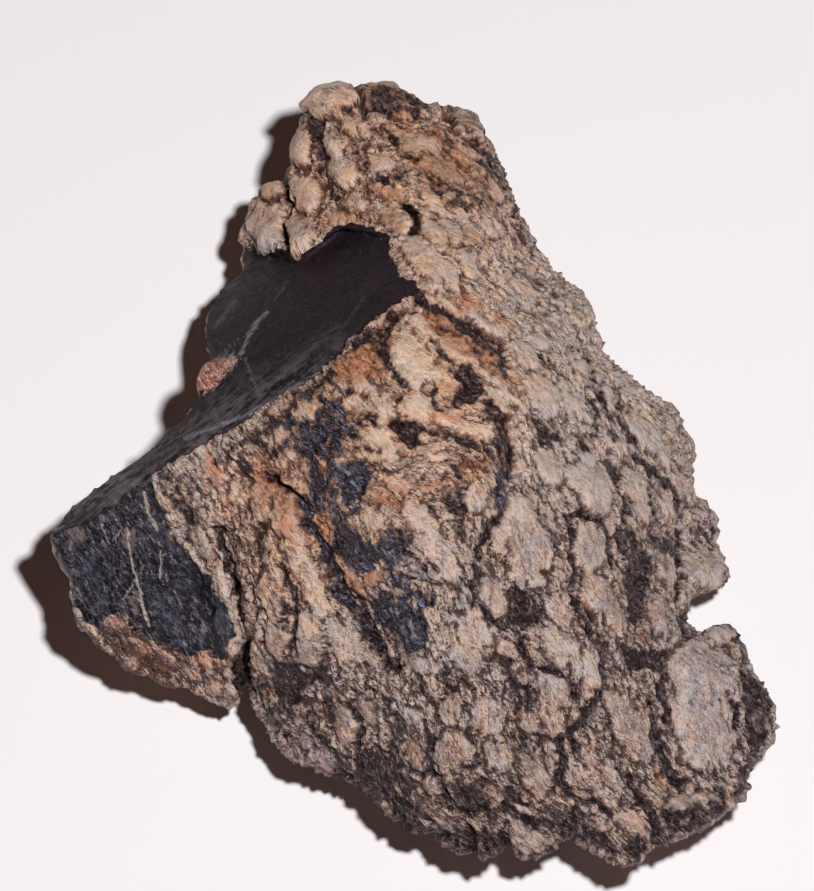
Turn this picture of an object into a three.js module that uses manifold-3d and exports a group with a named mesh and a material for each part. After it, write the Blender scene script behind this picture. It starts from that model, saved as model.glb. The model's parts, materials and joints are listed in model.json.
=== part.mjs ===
// A weathered stone about 90 mm wide, 105 mm deep and 50 mm high, grown as one piece: a blunt horn at the
// back, a wing with a flat black break on the left, and a broad flank that fans forward to a crumbling rim.
// Millimetres, +Z up. The stone stands on a flat spot at z = 0, under the middle of its bounding box.

import * as THREE from 'three';
import { mergeVertices } from 'three/addons/utils/BufferGeometryUtils.js';
import { ImprovedNoise } from 'three/addons/math/ImprovedNoise.js';
import Module from 'manifold-3d';

// ---- Driving dimensions ----

const SLANT = THREE.MathUtils.degToRad( 60 ); // the worked face looks forward and up at this elevation
const MID_HEIGHT = 22; // height over the table of the face frame's own origin
const ASIDE = - 0.8; // where that origin stands to the right of the middle of the stone
const FORWARD = 4.7; // and how far behind it
const FACE_MIDDLE = [ 2, - 12 ]; // across, up: the place that the mesh is spread from
const FOOT_MIDDLE = [ 2, - 1 ]; // across, back: the middle of the foot on the table
const MESH_DETAIL = 21; // splits along each edge of the icosahedron that becomes the skin
const EDGE_ROUNDNESS = 3.2; // of the face: 2 turns over the rim like a ball, larger values like a box
const BELLY_ROUNDNESS = [ 1.5, 2.3 ]; // of the underside, front and back: 1 is a straight cone
const BELLY_SMOOTHING = 0.3; // radians of rim that are averaged as the underside runs down to the foot
const FOOT_SINK = 1.3; // how deep the belly is cut flat to make the foot
const LANDMARK_BLEND = 2.5; // radius of the rounding at each landmark
const LUMPS = [ { size: 8, rise: 1.1 }, { size: 3.4, rise: 0.55 } ]; // the coarse lumps of the skin
const REACH = 200; // longer than the stone, for cutting tools

// ---- The face frame ----
// Places on the stone are given as [ across, up, height ]: across and up are measured on the slanted face,
// and height is over the table.

const CROSS = new THREE.Vector3( 1, 0, 0 );
const UP_THE_FACE = new THREE.Vector3( 0, Math.sin( SLANT ), Math.cos( SLANT ) );
const OUT_OF_FACE = new THREE.Vector3( 0, - Math.cos( SLANT ), Math.sin( SLANT ) );
const FACE_ORIGIN = new THREE.Vector3( ASIDE, FORWARD, MID_HEIGHT );

function place( [ across, up, height ] ) {

	const out = ( height - MID_HEIGHT - up * UP_THE_FACE.z ) / OUT_OF_FACE.z;
	return FACE_ORIGIN.clone()
		.addScaledVector( CROSS, across )
		.addScaledVector( UP_THE_FACE, up )
		.addScaledVector( OUT_OF_FACE, out );

}

// ---- The rim: where the face turns under, clockwise from the horn's left knob ----

const RIM = [
	// horn
	[ - 13.4, 42.8, 30 ], [ - 12, 45, 31 ], [ - 6, 45.2, 31 ], [ - 4.1, 46, 30 ], [ - 0.6, 44.9, 29 ],
	[ 4.1, 41.8, 28 ], [ 5.3, 42.3, 27 ], [ 8.8, 40.6, 25 ], [ 11.6, 35, 23 ], [ 13.2, 30, 21 ],
	// right side
	[ 15.9, 24.4, 18 ], [ 20.1, 19.7, 16 ], [ 22.1, 17.8, 15 ], [ 22.4, 15, 15 ], [ 24.6, 11.2, 15 ],
	[ 29, 7, 14 ], [ 33.4, 4, 13 ], [ 35.1, - 0.5, 11 ], [ 35.4, - 5.5, 11 ], [ 38.3, - 8, 9 ],
	[ 38.8, - 11.8, 9 ], [ 40.2, - 15.5, 8 ], [ 40.5, - 20, 11 ], [ 41.5, - 24.5, 14 ],
	// lower right lobe
	[ 44.2, - 29.8, 15 ], [ 45.7, - 30.5, 15 ], [ 45.2, - 36.6, 14 ], [ 43.2, - 38, 14 ],
	[ 41.9, - 43.4, 15 ], [ 36.6, - 47, 16 ], [ 31, - 50, 17 ],
	// front rim
	[ 28.7, - 51.5, 18 ], [ 25.8, - 51.6, 18 ], [ 22.9, - 49, 17 ], [ 18.9, - 48, 16 ], [ 18.1, - 50.2, 16 ],
	[ 16.4, - 51, 16 ], [ 12.6, - 48.5, 15 ], [ 9.1, - 51, 15 ], [ 5.9, - 50.6, 14 ], [ 4.1, - 48.5, 14 ],
	[ 0.4, - 47.2, 13 ], [ - 3.4, - 44.7, 13 ], [ - 6.6, - 41.4, 13 ], [ - 10.9, - 40, 13 ],
	[ - 15.9, - 37, 12 ], [ - 19, - 32.5, 10 ],
	// wing
	[ - 24.4, - 31.7, 10 ], [ - 27.6, - 29.2, 13 ], [ - 31.1, - 29.4, 14 ], [ - 36.9, - 25.6, 19 ],
	[ - 41.3, - 20.6, 24 ], [ - 41.4, - 16.8, 25.5 ], [ - 44.9, - 10.3, 28 ], [ - 43.1, - 6.8, 26 ],
	[ - 37.1, - 2.6, 28.5 ], [ - 31.1, 0.9, 31 ], [ - 26.2, 6.1, 31 ],
	// behind the black break, and up the horn's left side
	[ - 24.3, 11.7, 28 ], [ - 25.5, 17.5, 20 ], [ - 24.1, 20.3, 19 ], [ - 20.8, 22.9, 19.5 ],
	[ - 20.6, 26.7, 18.5 ], [ - 18.1, 32.4, 21 ], [ - 14.4, 34.2, 24 ], [ - 13.9, 38, 27 ],
	[ - 12.5, 40.4, 28.5 ],
];

// ---- The black break: a flat face that falls away to the back left from a sharp ridge ----

const BREAK_CORNERS = [ [ 1, 19.4, 50 ], [ - 44.9, - 10.3, 28 ], [ - 25.2, 18.2, 20 ] ];
const BREAK = new THREE.Plane().setFromCoplanarPoints( ...BREAK_CORNERS.map( place ) );
// Its outer third is bent down further, along a crease from the horn to the wing.
const OUTER_BREAK_CORNERS = [ [ - 13.4, 24.4, 27.2 ], [ - 22, 6.5, 36.8 ], [ - 25.5, 17.5, 17 ] ];
const OUTER_BREAK = new THREE.Plane().setFromCoplanarPoints( ...OUTER_BREAK_CORNERS.map( place ) );
// The break's outline, seen square to the face.
const BREAK_OUTLINE = [
	[ 1.6, 19.6 ], [ - 0.6, 21.6 ], [ - 1.4, 24.8 ], [ - 4.4, 26.6 ], [ - 8.4, 27.2 ], [ - 12, 24.6 ],
	[ - 14, 23.6 ], [ - 17, 24.8 ], [ - 30, 27 ], [ - 52, 0 ], [ - 52, - 14 ], [ - 44, - 10.8 ],
	[ - 38, - 8.4 ], [ - 31, - 4.4 ], [ - 25.4, 0 ], [ - 20, 2.2 ], [ - 13.6, 6 ], [ - 8.2, 10 ],
	[ - 3.2, 16 ],
];

// Height at which the sight line through ( across, up ) meets a plane.
function heightOnPlane( plane, across, up ) {

	const low = place( [ across, up, 0 ] );
	const step = place( [ across, up, 1 ] ).sub( low );
	return - plane.distanceToPoint( low ) / plane.normal.dot( step );

}

const onBreak = ( across, up, over = 0 ) => [ across, up, heightOnPlane( BREAK, across, up ) + over ];

// ---- Landmarks of the face, before anything is cut ----

const LANDMARKS = [
	// the ridge from the peak down to the wing's tip lies in the break
	onBreak( 1, 19.4 ), onBreak( - 3.4, 15.9 ), onBreak( - 8.4, 10.4 ), onBreak( - 14.6, 6.6 ),
	onBreak( - 20.9, 3 ), onBreak( - 25.9, 0.6 ), onBreak( - 32.1, - 3.5 ), onBreak( - 38.4, - 7.4 ),
	onBreak( - 43.4, - 9.6 ),
	// stone that once stood over the break
	onBreak( - 3.4, 23.2, 5 ), onBreak( - 8.4, 17, 6 ), onBreak( - 17, 13.2, 6 ), onBreak( - 23.4, 13, 5 ),
	onBreak( - 19.6, 19.4, 5 ), onBreak( - 29.6, - 0.5, 3.5 ), onBreak( - 35.9, - 3.7, 3 ),
	onBreak( - 42, - 7.4, 2.5 ),
	// horn
	[ - 0.8, 26, 43 ], [ - 7.8, 28, 33.5 ], [ - 14.6, 25.5, 29 ], [ - 17.1, 28.2, 25.5 ],
	[ - 13.4, 30.7, 31.5 ], [ - 8.4, 33.2, 36.5 ], [ - 9.6, 41.4, 34.5 ], [ - 2.8, 40.7, 35 ],
	[ - 0.8, 33.2, 40 ], [ 4.1, 37, 37.5 ],
	[ 7.9, 30.7, 38 ], [ 4.1, 27, 44 ], [ 9.1, 23.2, 43.5 ], [ 11.6, 27, 36.5 ], [ 14.1, 20.7, 38.5 ],
	// right flank
	[ 7.9, 14.4, 49 ], [ 14.1, 9.4, 46 ], [ 19.1, 13.2, 39 ], [ 19.1, 3.2, 42.5 ],
	[ 26.6, 3.2, 31 ], [ 19.1, - 6.8, 42 ], [ 26.6, - 6.8, 35 ], [ 32.9, - 6.8, 24 ],
	[ 14.1, - 14.3, 41.5 ], [ 24.1, - 16.8, 35.5 ], [ 30.4, - 14.3, 28 ], [ 36.6, - 13, 16 ],
	[ 19.1, - 25.6, 34.5 ], [ 29.1, - 25.6, 29 ], [ 36.6, - 29.3, 24.5 ],
	[ 42, - 33, 19 ], [ 24.1, - 36.8, 28 ], [ 36.6, - 39.3, 22 ], [ 30.4, - 44.3, 21 ], [ 16.6, - 43, 23 ],
	// scar in the middle, and the tongue that hangs from it over the left flank
	[ 4.1, 9.4, 49.5 ], [ - 0.9, 3.2, 49 ], [ 4.1, - 4.3, 48 ], [ 10.4, - 3, 46.5 ], [ - 7.1, 5.7, 48 ],
	[ - 7.1, - 3, 46.5 ], [ - 3.4, - 11.8, 45 ], [ 2.9, - 14.3, 44.5 ], [ 1.6, - 21.8, 40 ],
	[ 6.6, - 21.8, 40 ],
	// left flank
	[ - 9.6, - 14.3, 36.5 ], [ - 4.6, - 21.8, 33.5 ], [ - 0.9, - 26.8, 33.5 ], [ - 13.4, - 9.3, 40.5 ],
	[ - 17, - 3, 41 ], [ - 15.9, - 16.8, 33 ], [ - 19, - 14.3, 33 ], [ - 19.6, - 21.8, 27 ],
	[ - 12, - 24.3, 29.5 ], [ - 18, - 29.3, 19 ], [ - 12, - 31.8, 23 ],
	// front
	[ 5.4, - 31.8, 32.5 ], [ - 3.4, - 31.8, 29 ], [ - 3.4, - 39.3, 22 ], [ 5.4, - 41.8, 25 ],
	// the wing's steep front
	[ - 22, - 4.3, 36 ], [ - 27, - 6.8, 32.5 ], [ - 32.1, - 14.3, 24.5 ], [ - 38.4, - 14.3, 24.5 ],
	[ - 24.6, - 14.3, 26.5 ], [ - 32.1, - 24.3, 15.5 ], [ - 22.8, - 26.2, 15 ],
];

// ---- Furrows and ridges ----
// Paths of [ across, up ] on the face. Depth is how far they sink; below zero they are raised.

const FURROWS = [
	// the deep furrow on the left of the tongue
	{
		depth: 2.4, width: 2.8,
		path: [ [ - 11.8, - 3.1 ], [ - 9.6, - 11.8 ], [ - 7.1, - 18.1 ], [ - 1.2, - 25.2 ] ],
	},
	// the crack that runs across the left flank
	{ depth: 1.6, width: 1.6, path: [ [ - 18.1, - 3.1 ], [ - 13.4, - 7.4 ] ] },
	// the thin raised edge on the right of the scar
	{
		depth: - 1.3, width: 1.6,
		path: [ [ 12.3, 11.9 ], [ 14.4, 5.7 ], [ 14.1, 0.7 ], [ 12.3, - 6.8 ], [ 10.4, - 11.8 ] ],
	},
	// the crack on the left of the lower right lobe
	{ depth: 1.6, width: 1.6, path: [ [ 31.6, - 25.6 ], [ 31.9, - 36.8 ], [ 33.5, - 41.8 ] ] },
	// the dip between the peak and the horn's left side
	{ depth: 1.5, width: 2.5, path: [ [ - 12.5, 28 ], [ - 9.8, 35.5 ], [ - 11.2, 41 ] ] },
];

function furrowDepth( across, up ) {

	const point = new THREE.Vector3( across, up, 0 ), nearest = new THREE.Vector3();
	const line = new THREE.Line3();
	let sum = 0;
	for ( const { depth, width, path } of FURROWS ) {

		let gap = Infinity;
		for ( let i = 1; i < path.length; i ++ ) {

			line.set( new THREE.Vector3( ...path[ i - 1 ] ), new THREE.Vector3( ...path[ i ] ) );
			gap = Math.min( gap, line.closestPointToPoint( point, true, nearest ).distanceTo( point ) );

		}

		sum += depth * Math.exp( - ( ( gap / width ) ** 2 ) );

	}

	return sum;

}

// Solves rows . weights = values by Gaussian elimination with row swaps.
function solve( rows, values ) {

	const n = values.length;
	const work = rows.map( ( row, i ) => [ ...row, values[ i ] ] );
	for ( let column = 0; column < n; column ++ ) {

		let pivot = column;
		for ( let i = column + 1; i < n; i ++ )
			if ( Math.abs( work[ i ][ column ] ) > Math.abs( work[ pivot ][ column ] ) ) pivot = i;
		[ work[ column ], work[ pivot ] ] = [ work[ pivot ], work[ column ] ];
		for ( let i = column + 1; i < n; i ++ ) {

			const share = work[ i ][ column ] / work[ column ][ column ];
			for ( let k = column; k <= n; k ++ ) work[ i ][ k ] -= share * work[ column ][ k ];

		}

	}

	const weights = new Array( n ).fill( 0 );
	for ( let i = n - 1; i >= 0; i -- ) {

		let rest = work[ i ][ n ];
		for ( let k = i + 1; k < n; k ++ ) rest -= work[ i ][ k ] * weights[ k ];
		weights[ i ] = rest / work[ i ][ i ];

	}

	return weights;

}

// A smooth height field through all the landmarks: one rounded cone at each, on a tilted plane.
function faceHeight( landmarks ) {

	const cone = ( dx, dy ) => Math.hypot( dx, dy, LANDMARK_BLEND );
	const cones = ( across, up ) => landmarks.map( ( [ a, u ] ) => cone( across - a, up - u ) );
	const terms = ( across, up ) => [ ...cones( across, up ), 1, across, up ];
	const rows = landmarks.map( ( [ across, up ] ) => terms( across, up ) );
	for ( const flat of [ () => 1, ( [ across ] ) => across, ( [ , up ] ) => up ] )
		rows.push( [ ...landmarks.map( flat ), 0, 0, 0 ] );
	const weights = solve( rows, [ ...landmarks.map( ( [ , , height ] ) => height ), 0, 0, 0 ] );
	return ( across, up ) => terms( across, up ).reduce( ( sum, term, i ) => sum + term * weights[ i ], 0 );

}

// ---- The skin: an icosahedron's mesh, spread over the face in front and the belly behind ----

function skin() {

	const heightAt = faceHeight( LANDMARKS );
	const rimPoints = RIM.map( ( p ) => new THREE.Vector3( ...p ) );
	const rimCurve = new THREE.CatmullRomCurve3( rimPoints, true, 'centripetal' );
	const bearing = ( p ) => Math.atan2( p.y - FACE_MIDDLE[ 1 ], p.x - FACE_MIDDLE[ 0 ] );
	const rim = rimCurve.getSpacedPoints( 1500 ).map( ( p ) => ( { p, at: bearing( p ) } ) );
	rim.sort( ( a, b ) => a.at - b.at );

	function rimAt( angle ) {

		let low = 0, high = rim.length - 1;
		while ( high - low > 1 ) {

			const mid = ( low + high ) >> 1;
			if ( rim[ mid ].at <= angle ) low = mid;
			else high = mid;

		}

		return rim[ low ].p.toArray();

	}

	function smoothRim( angle ) {

		const steps = [ - 1, - 0.75, - 0.5, - 0.25, 0, 0.25, 0.5, 0.75, 1 ];
		const sum = new THREE.Vector3();
		for ( const step of steps ) {

			const turned = angle + step * BELLY_SMOOTHING;
			sum.add( place( rimAt( Math.atan2( Math.sin( turned ), Math.cos( turned ) ) ) ) );

		}

		return sum.divideScalar( steps.length );

	}

	const geometry = new THREE.IcosahedronGeometry( 1, MESH_DETAIL );
	geometry.deleteAttribute( 'normal' );
	geometry.deleteAttribute( 'uv' );
	const skinGeometry = mergeVertices( geometry );
	const position = skinGeometry.getAttribute( 'position' );
	const way = new THREE.Vector3();
	for ( let i = 0; i < position.count; i ++ ) {

		way.fromBufferAttribute( position, i ).normalize();
		const angle = Math.atan2( way.y, way.x );
		const sine = Math.hypot( way.x, way.y ), cosine = Math.abs( way.z );
		const [ front, back ] = BELLY_ROUNDNESS;
		const belly = THREE.MathUtils.lerp( front, back, 0.5 + 0.5 * Math.sin( angle ) );
		const roundness = way.z > 0 ? EDGE_ROUNDNESS : belly;
		const box = ( sine ** roundness + cosine ** roundness ) ** ( 1 / roundness );
		const spread = sine / box, rise = cosine / box;
		if ( way.z > 0 ) {

			const edge = rimAt( angle );
			const across = FACE_MIDDLE[ 0 ] + spread * ( edge[ 0 ] - FACE_MIDDLE[ 0 ] );
			const up = FACE_MIDDLE[ 1 ] + spread * ( edge[ 1 ] - FACE_MIDDLE[ 1 ] );
			const height = edge[ 2 ] + ( heightAt( across, up ) - furrowDepth( across, up ) - edge[ 2 ] ) * rise;
			position.setXYZ( i, ...place( [ across, up, height ] ) );

		} else {

			const edge = place( rimAt( angle ) ).lerp( smoothRim( angle ), Math.min( 1, 1.6 * rise ) );
			const x = FOOT_MIDDLE[ 0 ] + spread * ( edge.x - FOOT_MIDDLE[ 0 ] );
			const y = FOOT_MIDDLE[ 1 ] + spread * ( edge.y - FOOT_MIDDLE[ 1 ] );
			position.setXYZ( i, x, y, edge.z - ( edge.z + FOOT_SINK ) * rise );

		}

	}

	return roughen( skinGeometry );

}

// Moves each vertex along its normal by the coarse lumps of the skin.
function roughen( geometry ) {

	geometry.computeVertexNormals();
	const noise = new ImprovedNoise();
	const position = geometry.getAttribute( 'position' );
	const normal = geometry.getAttribute( 'normal' );
	const p = new THREE.Vector3(), n = new THREE.Vector3();
	for ( let i = 0; i < position.count; i ++ ) {

		p.fromBufferAttribute( position, i );
		n.fromBufferAttribute( normal, i );
		const lift = LUMPS.reduce( ( sum, { size, rise } ) =>
			sum + rise * noise.noise( p.x / size, p.y / size, p.z / size ), 0 );
		p.addScaledVector( n, lift );
		position.setXYZ( i, ...p );

	}

	geometry.deleteAttribute( 'normal' );
	return geometry;

}

// ---- Cutting tools ----

const wasm = await Module();
wasm.setup();

function asSolid( geometry ) {

	const bare = geometry.clone();
	for ( const name of Object.keys( bare.attributes ) )
		if ( name !== 'position' ) bare.deleteAttribute( name );
	const merged = mergeVertices( bare, 1e-4 );
	return new wasm.Manifold( new wasm.Mesh( {
		numProp: 3,
		vertProperties: merged.getAttribute( 'position' ).array,
		triVerts: new Uint32Array( merged.index.array ),
	} ) );

}

// A long bar that runs along the sight line, with its outline drawn on the face.
function bar( outline ) {

	const shape = new THREE.Shape( outline.map( ( [ across, up ] ) => new THREE.Vector2( across, up ) ) );
	const geometry = new THREE.ExtrudeGeometry( shape, { depth: 2 * REACH, bevelEnabled: false } );
	geometry.translate( 0, 0, - REACH );
	const frame = new THREE.Matrix4().makeBasis( CROSS, UP_THE_FACE, OUT_OF_FACE ).setPosition( FACE_ORIGIN );
	return asSolid( geometry.applyMatrix4( frame ) );

}

// A block with its underside on a plane, to take away what lies above it.
function blockAbove( plane ) {

	const upward = plane.normal.z < 0 ? plane.clone().negate() : plane;
	const geometry = new THREE.BoxGeometry( 2 * REACH, 2 * REACH, REACH ).translate( 0, 0, REACH / 2 );
	const turn = new THREE.Quaternion().setFromUnitVectors( new THREE.Vector3( 0, 0, 1 ), upward.normal );
	geometry.applyQuaternion( turn );
	geometry.translate( ...upward.coplanarPoint( new THREE.Vector3() ) );
	return asSolid( geometry );

}

const planeThrough = ( ...corners ) => new THREE.Plane().setFromCoplanarPoints( ...corners.map( place ) );

// ---- The cleft between wing and flank, and the notch in the right rim ----

const CLEFT_OUTLINE = [
	[ - 24.6, - 8.4 ], [ - 22.2, - 10.4 ], [ - 20.8, - 14.6 ], [ - 20.2, - 20 ], [ - 19.6, - 25 ],
	[ - 18.8, - 34 ], [ - 21.4, - 34 ], [ - 21.2, - 26.6 ], [ - 21.6, - 20.6 ], [ - 22.2, - 15.6 ],
	[ - 23.4, - 11.4 ],
];
const CLEFT_FLOOR = planeThrough( [ - 25, - 8, 31 ], [ - 21, - 30, 6 ], [ - 15, - 15, 20 ] );
const NOTCH_OUTLINE = [
	[ 50, - 14 ], [ 40, - 16.8 ], [ 37, - 17.8 ], [ 34.6, - 19.4 ], [ 34.6, - 22 ], [ 35.2, - 23.4 ],
	[ 37.4, - 24.2 ], [ 38.2, - 22.8 ], [ 40, - 22.6 ], [ 50, - 28 ],
];

// ---- The stone ----

const GROUND = new THREE.Plane( new THREE.Vector3( 0, 0, 1 ), 0 );

function stone() {

	const breakTool = blockAbove( BREAK ).add( blockAbove( OUTER_BREAK ) ).intersect( bar( BREAK_OUTLINE ) );
	const cleftTool = blockAbove( CLEFT_FLOOR ).intersect( bar( CLEFT_OUTLINE ) );
	const solid = asSolid( skin() )
		.subtract( breakTool )
		.subtract( cleftTool )
		.subtract( bar( NOTCH_OUTLINE ) )
		.intersect( blockAbove( GROUND ) );
	const largest = solid.decompose().sort( ( a, b ) => b.volume() - a.volume() )[ 0 ];
	const mesh = largest.getMesh();
	const geometry = new THREE.BufferGeometry();
	geometry.setAttribute( 'position', new THREE.BufferAttribute( mesh.vertProperties, 3 ) );
	geometry.setIndex( new THREE.BufferAttribute( mesh.triVerts, 1 ) );
	geometry.computeVertexNormals();
	return geometry;

}

const weathered = new THREE.MeshStandardMaterial( { color: 0x9c8570, roughness: 0.9, metalness: 0 } );
const meteorite = new THREE.Mesh( stone(), weathered );
meteorite.name = 'meteorite';

const group = new THREE.Group();
group.add( meteorite );
export default group;
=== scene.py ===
import json
import math

import bpy
import numpy as np
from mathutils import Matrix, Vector, kdtree

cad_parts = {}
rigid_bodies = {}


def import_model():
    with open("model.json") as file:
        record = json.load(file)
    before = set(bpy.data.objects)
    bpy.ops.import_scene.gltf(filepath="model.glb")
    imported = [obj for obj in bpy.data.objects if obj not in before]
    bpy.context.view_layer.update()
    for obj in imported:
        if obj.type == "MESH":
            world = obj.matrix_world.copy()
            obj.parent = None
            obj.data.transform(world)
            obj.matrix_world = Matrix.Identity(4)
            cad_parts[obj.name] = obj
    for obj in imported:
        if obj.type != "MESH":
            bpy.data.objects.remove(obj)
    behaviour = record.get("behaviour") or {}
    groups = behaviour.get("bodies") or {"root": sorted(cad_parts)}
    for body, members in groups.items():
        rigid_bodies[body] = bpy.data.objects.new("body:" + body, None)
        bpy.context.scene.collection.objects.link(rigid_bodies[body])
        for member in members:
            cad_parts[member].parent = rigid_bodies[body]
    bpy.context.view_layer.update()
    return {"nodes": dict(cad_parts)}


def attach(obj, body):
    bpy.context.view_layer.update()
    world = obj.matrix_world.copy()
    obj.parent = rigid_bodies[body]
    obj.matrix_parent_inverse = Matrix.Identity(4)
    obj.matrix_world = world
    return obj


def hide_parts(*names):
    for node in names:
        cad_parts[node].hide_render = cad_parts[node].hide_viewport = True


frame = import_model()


# ---- The body of the stone ----
# One lump of weathered stone, grown as a single piece. Here its rough block gets a fine, even skin
# that is densest over the worked face and looser under the belly, ready to be carved.

MM = 0.001
# the worked face slants, and places on it are millimetres across, up and out from its middle
SLANT = math.radians(60)
ORIGIN = np.array((-0.8, 4.7, 22.0))
CROSS = np.array((1.0, 0.0, 0.0))
UP_FACE = np.array((0.0, math.sin(SLANT), math.cos(SLANT)))
OUT_FACE = np.array((0.0, -math.cos(SLANT), math.sin(SLANT)))
WELD_GAP = 0.001 * MM
SKIN_STEP = 0.36 * MM
SMOOTHING_PASSES = 36
SMOOTHING_STRENGTH = 0.5
WEIGHT_STEPS = 20
MOST_TRIANGLES = 196000

cad = frame["nodes"]["meteorite"]
bpy.ops.object.select_all(action="DESELECT")
stone = bpy.data.objects.new("meteorite_stone", cad.data.copy())
bpy.context.scene.collection.objects.link(stone)
stone.select_set(True)
bpy.context.view_layer.objects.active = stone
bpy.ops.object.mode_set(mode="EDIT")
bpy.ops.mesh.select_all(action="SELECT")
bpy.ops.mesh.remove_doubles(threshold=WELD_GAP)
bpy.ops.object.mode_set(mode="OBJECT")


def finish_with(kind, **settings):
    """Adds a modifier of this kind to the stone and applies it."""
    modifier = stone.modifiers.new(kind.lower(), kind)
    for name, value in settings.items():
        setattr(modifier, name, value)
    bpy.ops.object.modifier_apply(modifier=modifier.name)


def rows_of(source, name):
    """Three numbers from each of the stone's vertices, as rows."""
    rows = np.empty(len(source) * 3)
    source.foreach_get(name, rows)
    return rows.reshape(-1, 3)


def vertex_places():
    """Where each vertex of the stone is, in metres."""
    return rows_of(stone.data.vertices, "co")


def vertex_normals():
    """Which way the skin faces at each vertex."""
    return rows_of(stone.data.vertex_normals, "vector")


def on_face(places):
    """Across, up and out of the slanted face, in millimetres."""
    local = places / MM - ORIGIN
    return local @ CROSS, local @ UP_FACE, local @ OUT_FACE


def ease(low, high, value):
    """0 at low, 1 at high, smooth between; low may be the larger of the two."""
    t = np.clip((value - low) / (high - low), 0, 1)
    return t * t * (3 - 2 * t)


def path_gap(across, up, path):
    """Distance in millimetres from each place to a path of points on the face."""
    best = np.full(across.shape, np.inf)
    points = np.array(path, float)
    for (x0, y0), (x1, y1) in zip(points[:-1], points[1:]):
        dx, dy = x1 - x0, y1 - y0
        t = np.clip(((across - x0) * dx + (up - y0) * dy) / (dx * dx + dy * dy + 1e-9), 0, 1)
        best = np.minimum(best, np.hypot(across - x0 - t * dx, up - y0 - t * dy))
    return best


def inside_by(across, up, outline):
    """Millimetres inside a closed outline on the face; below zero outside it."""
    ring = list(outline) + [outline[0]]
    gap = path_gap(across, up, ring)
    within = np.zeros(across.shape, bool)
    for (x0, y0), (x1, y1) in zip(ring[:-1], ring[1:]):
        crosses = (y0 > up) != (y1 > up)
        within ^= crosses & (across < (x1 - x0) * (up - y0) / (y1 - y0 + 1e-12) + x0)
    return np.where(within, gap, -gap)


def weigh(name, weights):
    """Writes a vertex group, rounded to even steps."""
    group = stone.vertex_groups.new(name=name)
    steps = np.round(np.clip(weights, 0, 1) * WEIGHT_STEPS).astype(int)
    for step in range(1, WEIGHT_STEPS + 1):
        members = np.flatnonzero(steps == step)
        if len(members):
            group.add(members.tolist(), step / WEIGHT_STEPS, "REPLACE")


# the flat black break keeps its sharp rim: its outline, across and up
BREAK_OUTLINE = [
    (1.6, 19.6), (0.2, 20.4), (-1, 21), (-1.4, 22.4), (-2, 23.6), (-1.8, 24.6), (-2.4, 25.8), (-3.4, 26.8),
    (-5, 27.4), (-7, 27.7), (-9, 27.6), (-10.4, 26.2), (-11, 24.9), (-12.2, 24.6), (-13, 23.8), (-14, 23.8),
    (-14.6, 24.6), (-16, 24.8), (-17.2, 24), (-18.4, 24.3), (-20.4, 24.9), (-24, 24), (-30, 18), (-34, 6),
    (-46, -3), (-48, -9.6), (-44.8, -10.2), (-41, -10), (-38.5, -8.6), (-36, -7.2), (-34, -5.6),
    (-31.4, -3.3), (-29, -2), (-26, -0.4), (-24, 0.8), (-21, 2.4), (-18, 4.6), (-14, 7), (-11, 9),
    (-9.2, 11), (-7, 13.2), (-5.6, 14.2), (-4.4, 15.6), (-2.4, 16.6), (-0.4, 17.8), (1, 18.8),
]

finish_with("REMESH", mode="VOXEL", voxel_size=SKIN_STEP)
across, up, out = on_face(vertex_places())
facing = vertex_normals() @ OUT_FACE
inside_break = inside_by(across, up, BREAK_OUTLINE)
flat = ease(-0.2, 0.8, inside_break) * ease(0.1, 0.3, facing)
weigh("to_smooth", 1 - flat)
finish_with(
    "SMOOTH", factor=SMOOTHING_STRENGTH, iterations=SMOOTHING_PASSES, vertex_group="to_smooth"
)

# the underside and the middle of the break can be thinned the most
facing = vertex_normals() @ OUT_FACE
weigh("to_thin", 0.05 + 0.4 * ease(0.3, -0.4, facing) + 0.15 * flat * ease(1.5, 4.0, inside_break))
triangles = len(stone.data.polygons) * 2
finish_with("DECIMATE", ratio=MOST_TRIANGLES / triangles, vertex_group="to_thin")


# ---- The grain of the crust ----
# While it flew and weathered, the crust flowed and split away from the peak, so its lumps, streaks
# and cracks all run with one grain. These are the directions of that grain over the face.

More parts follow.
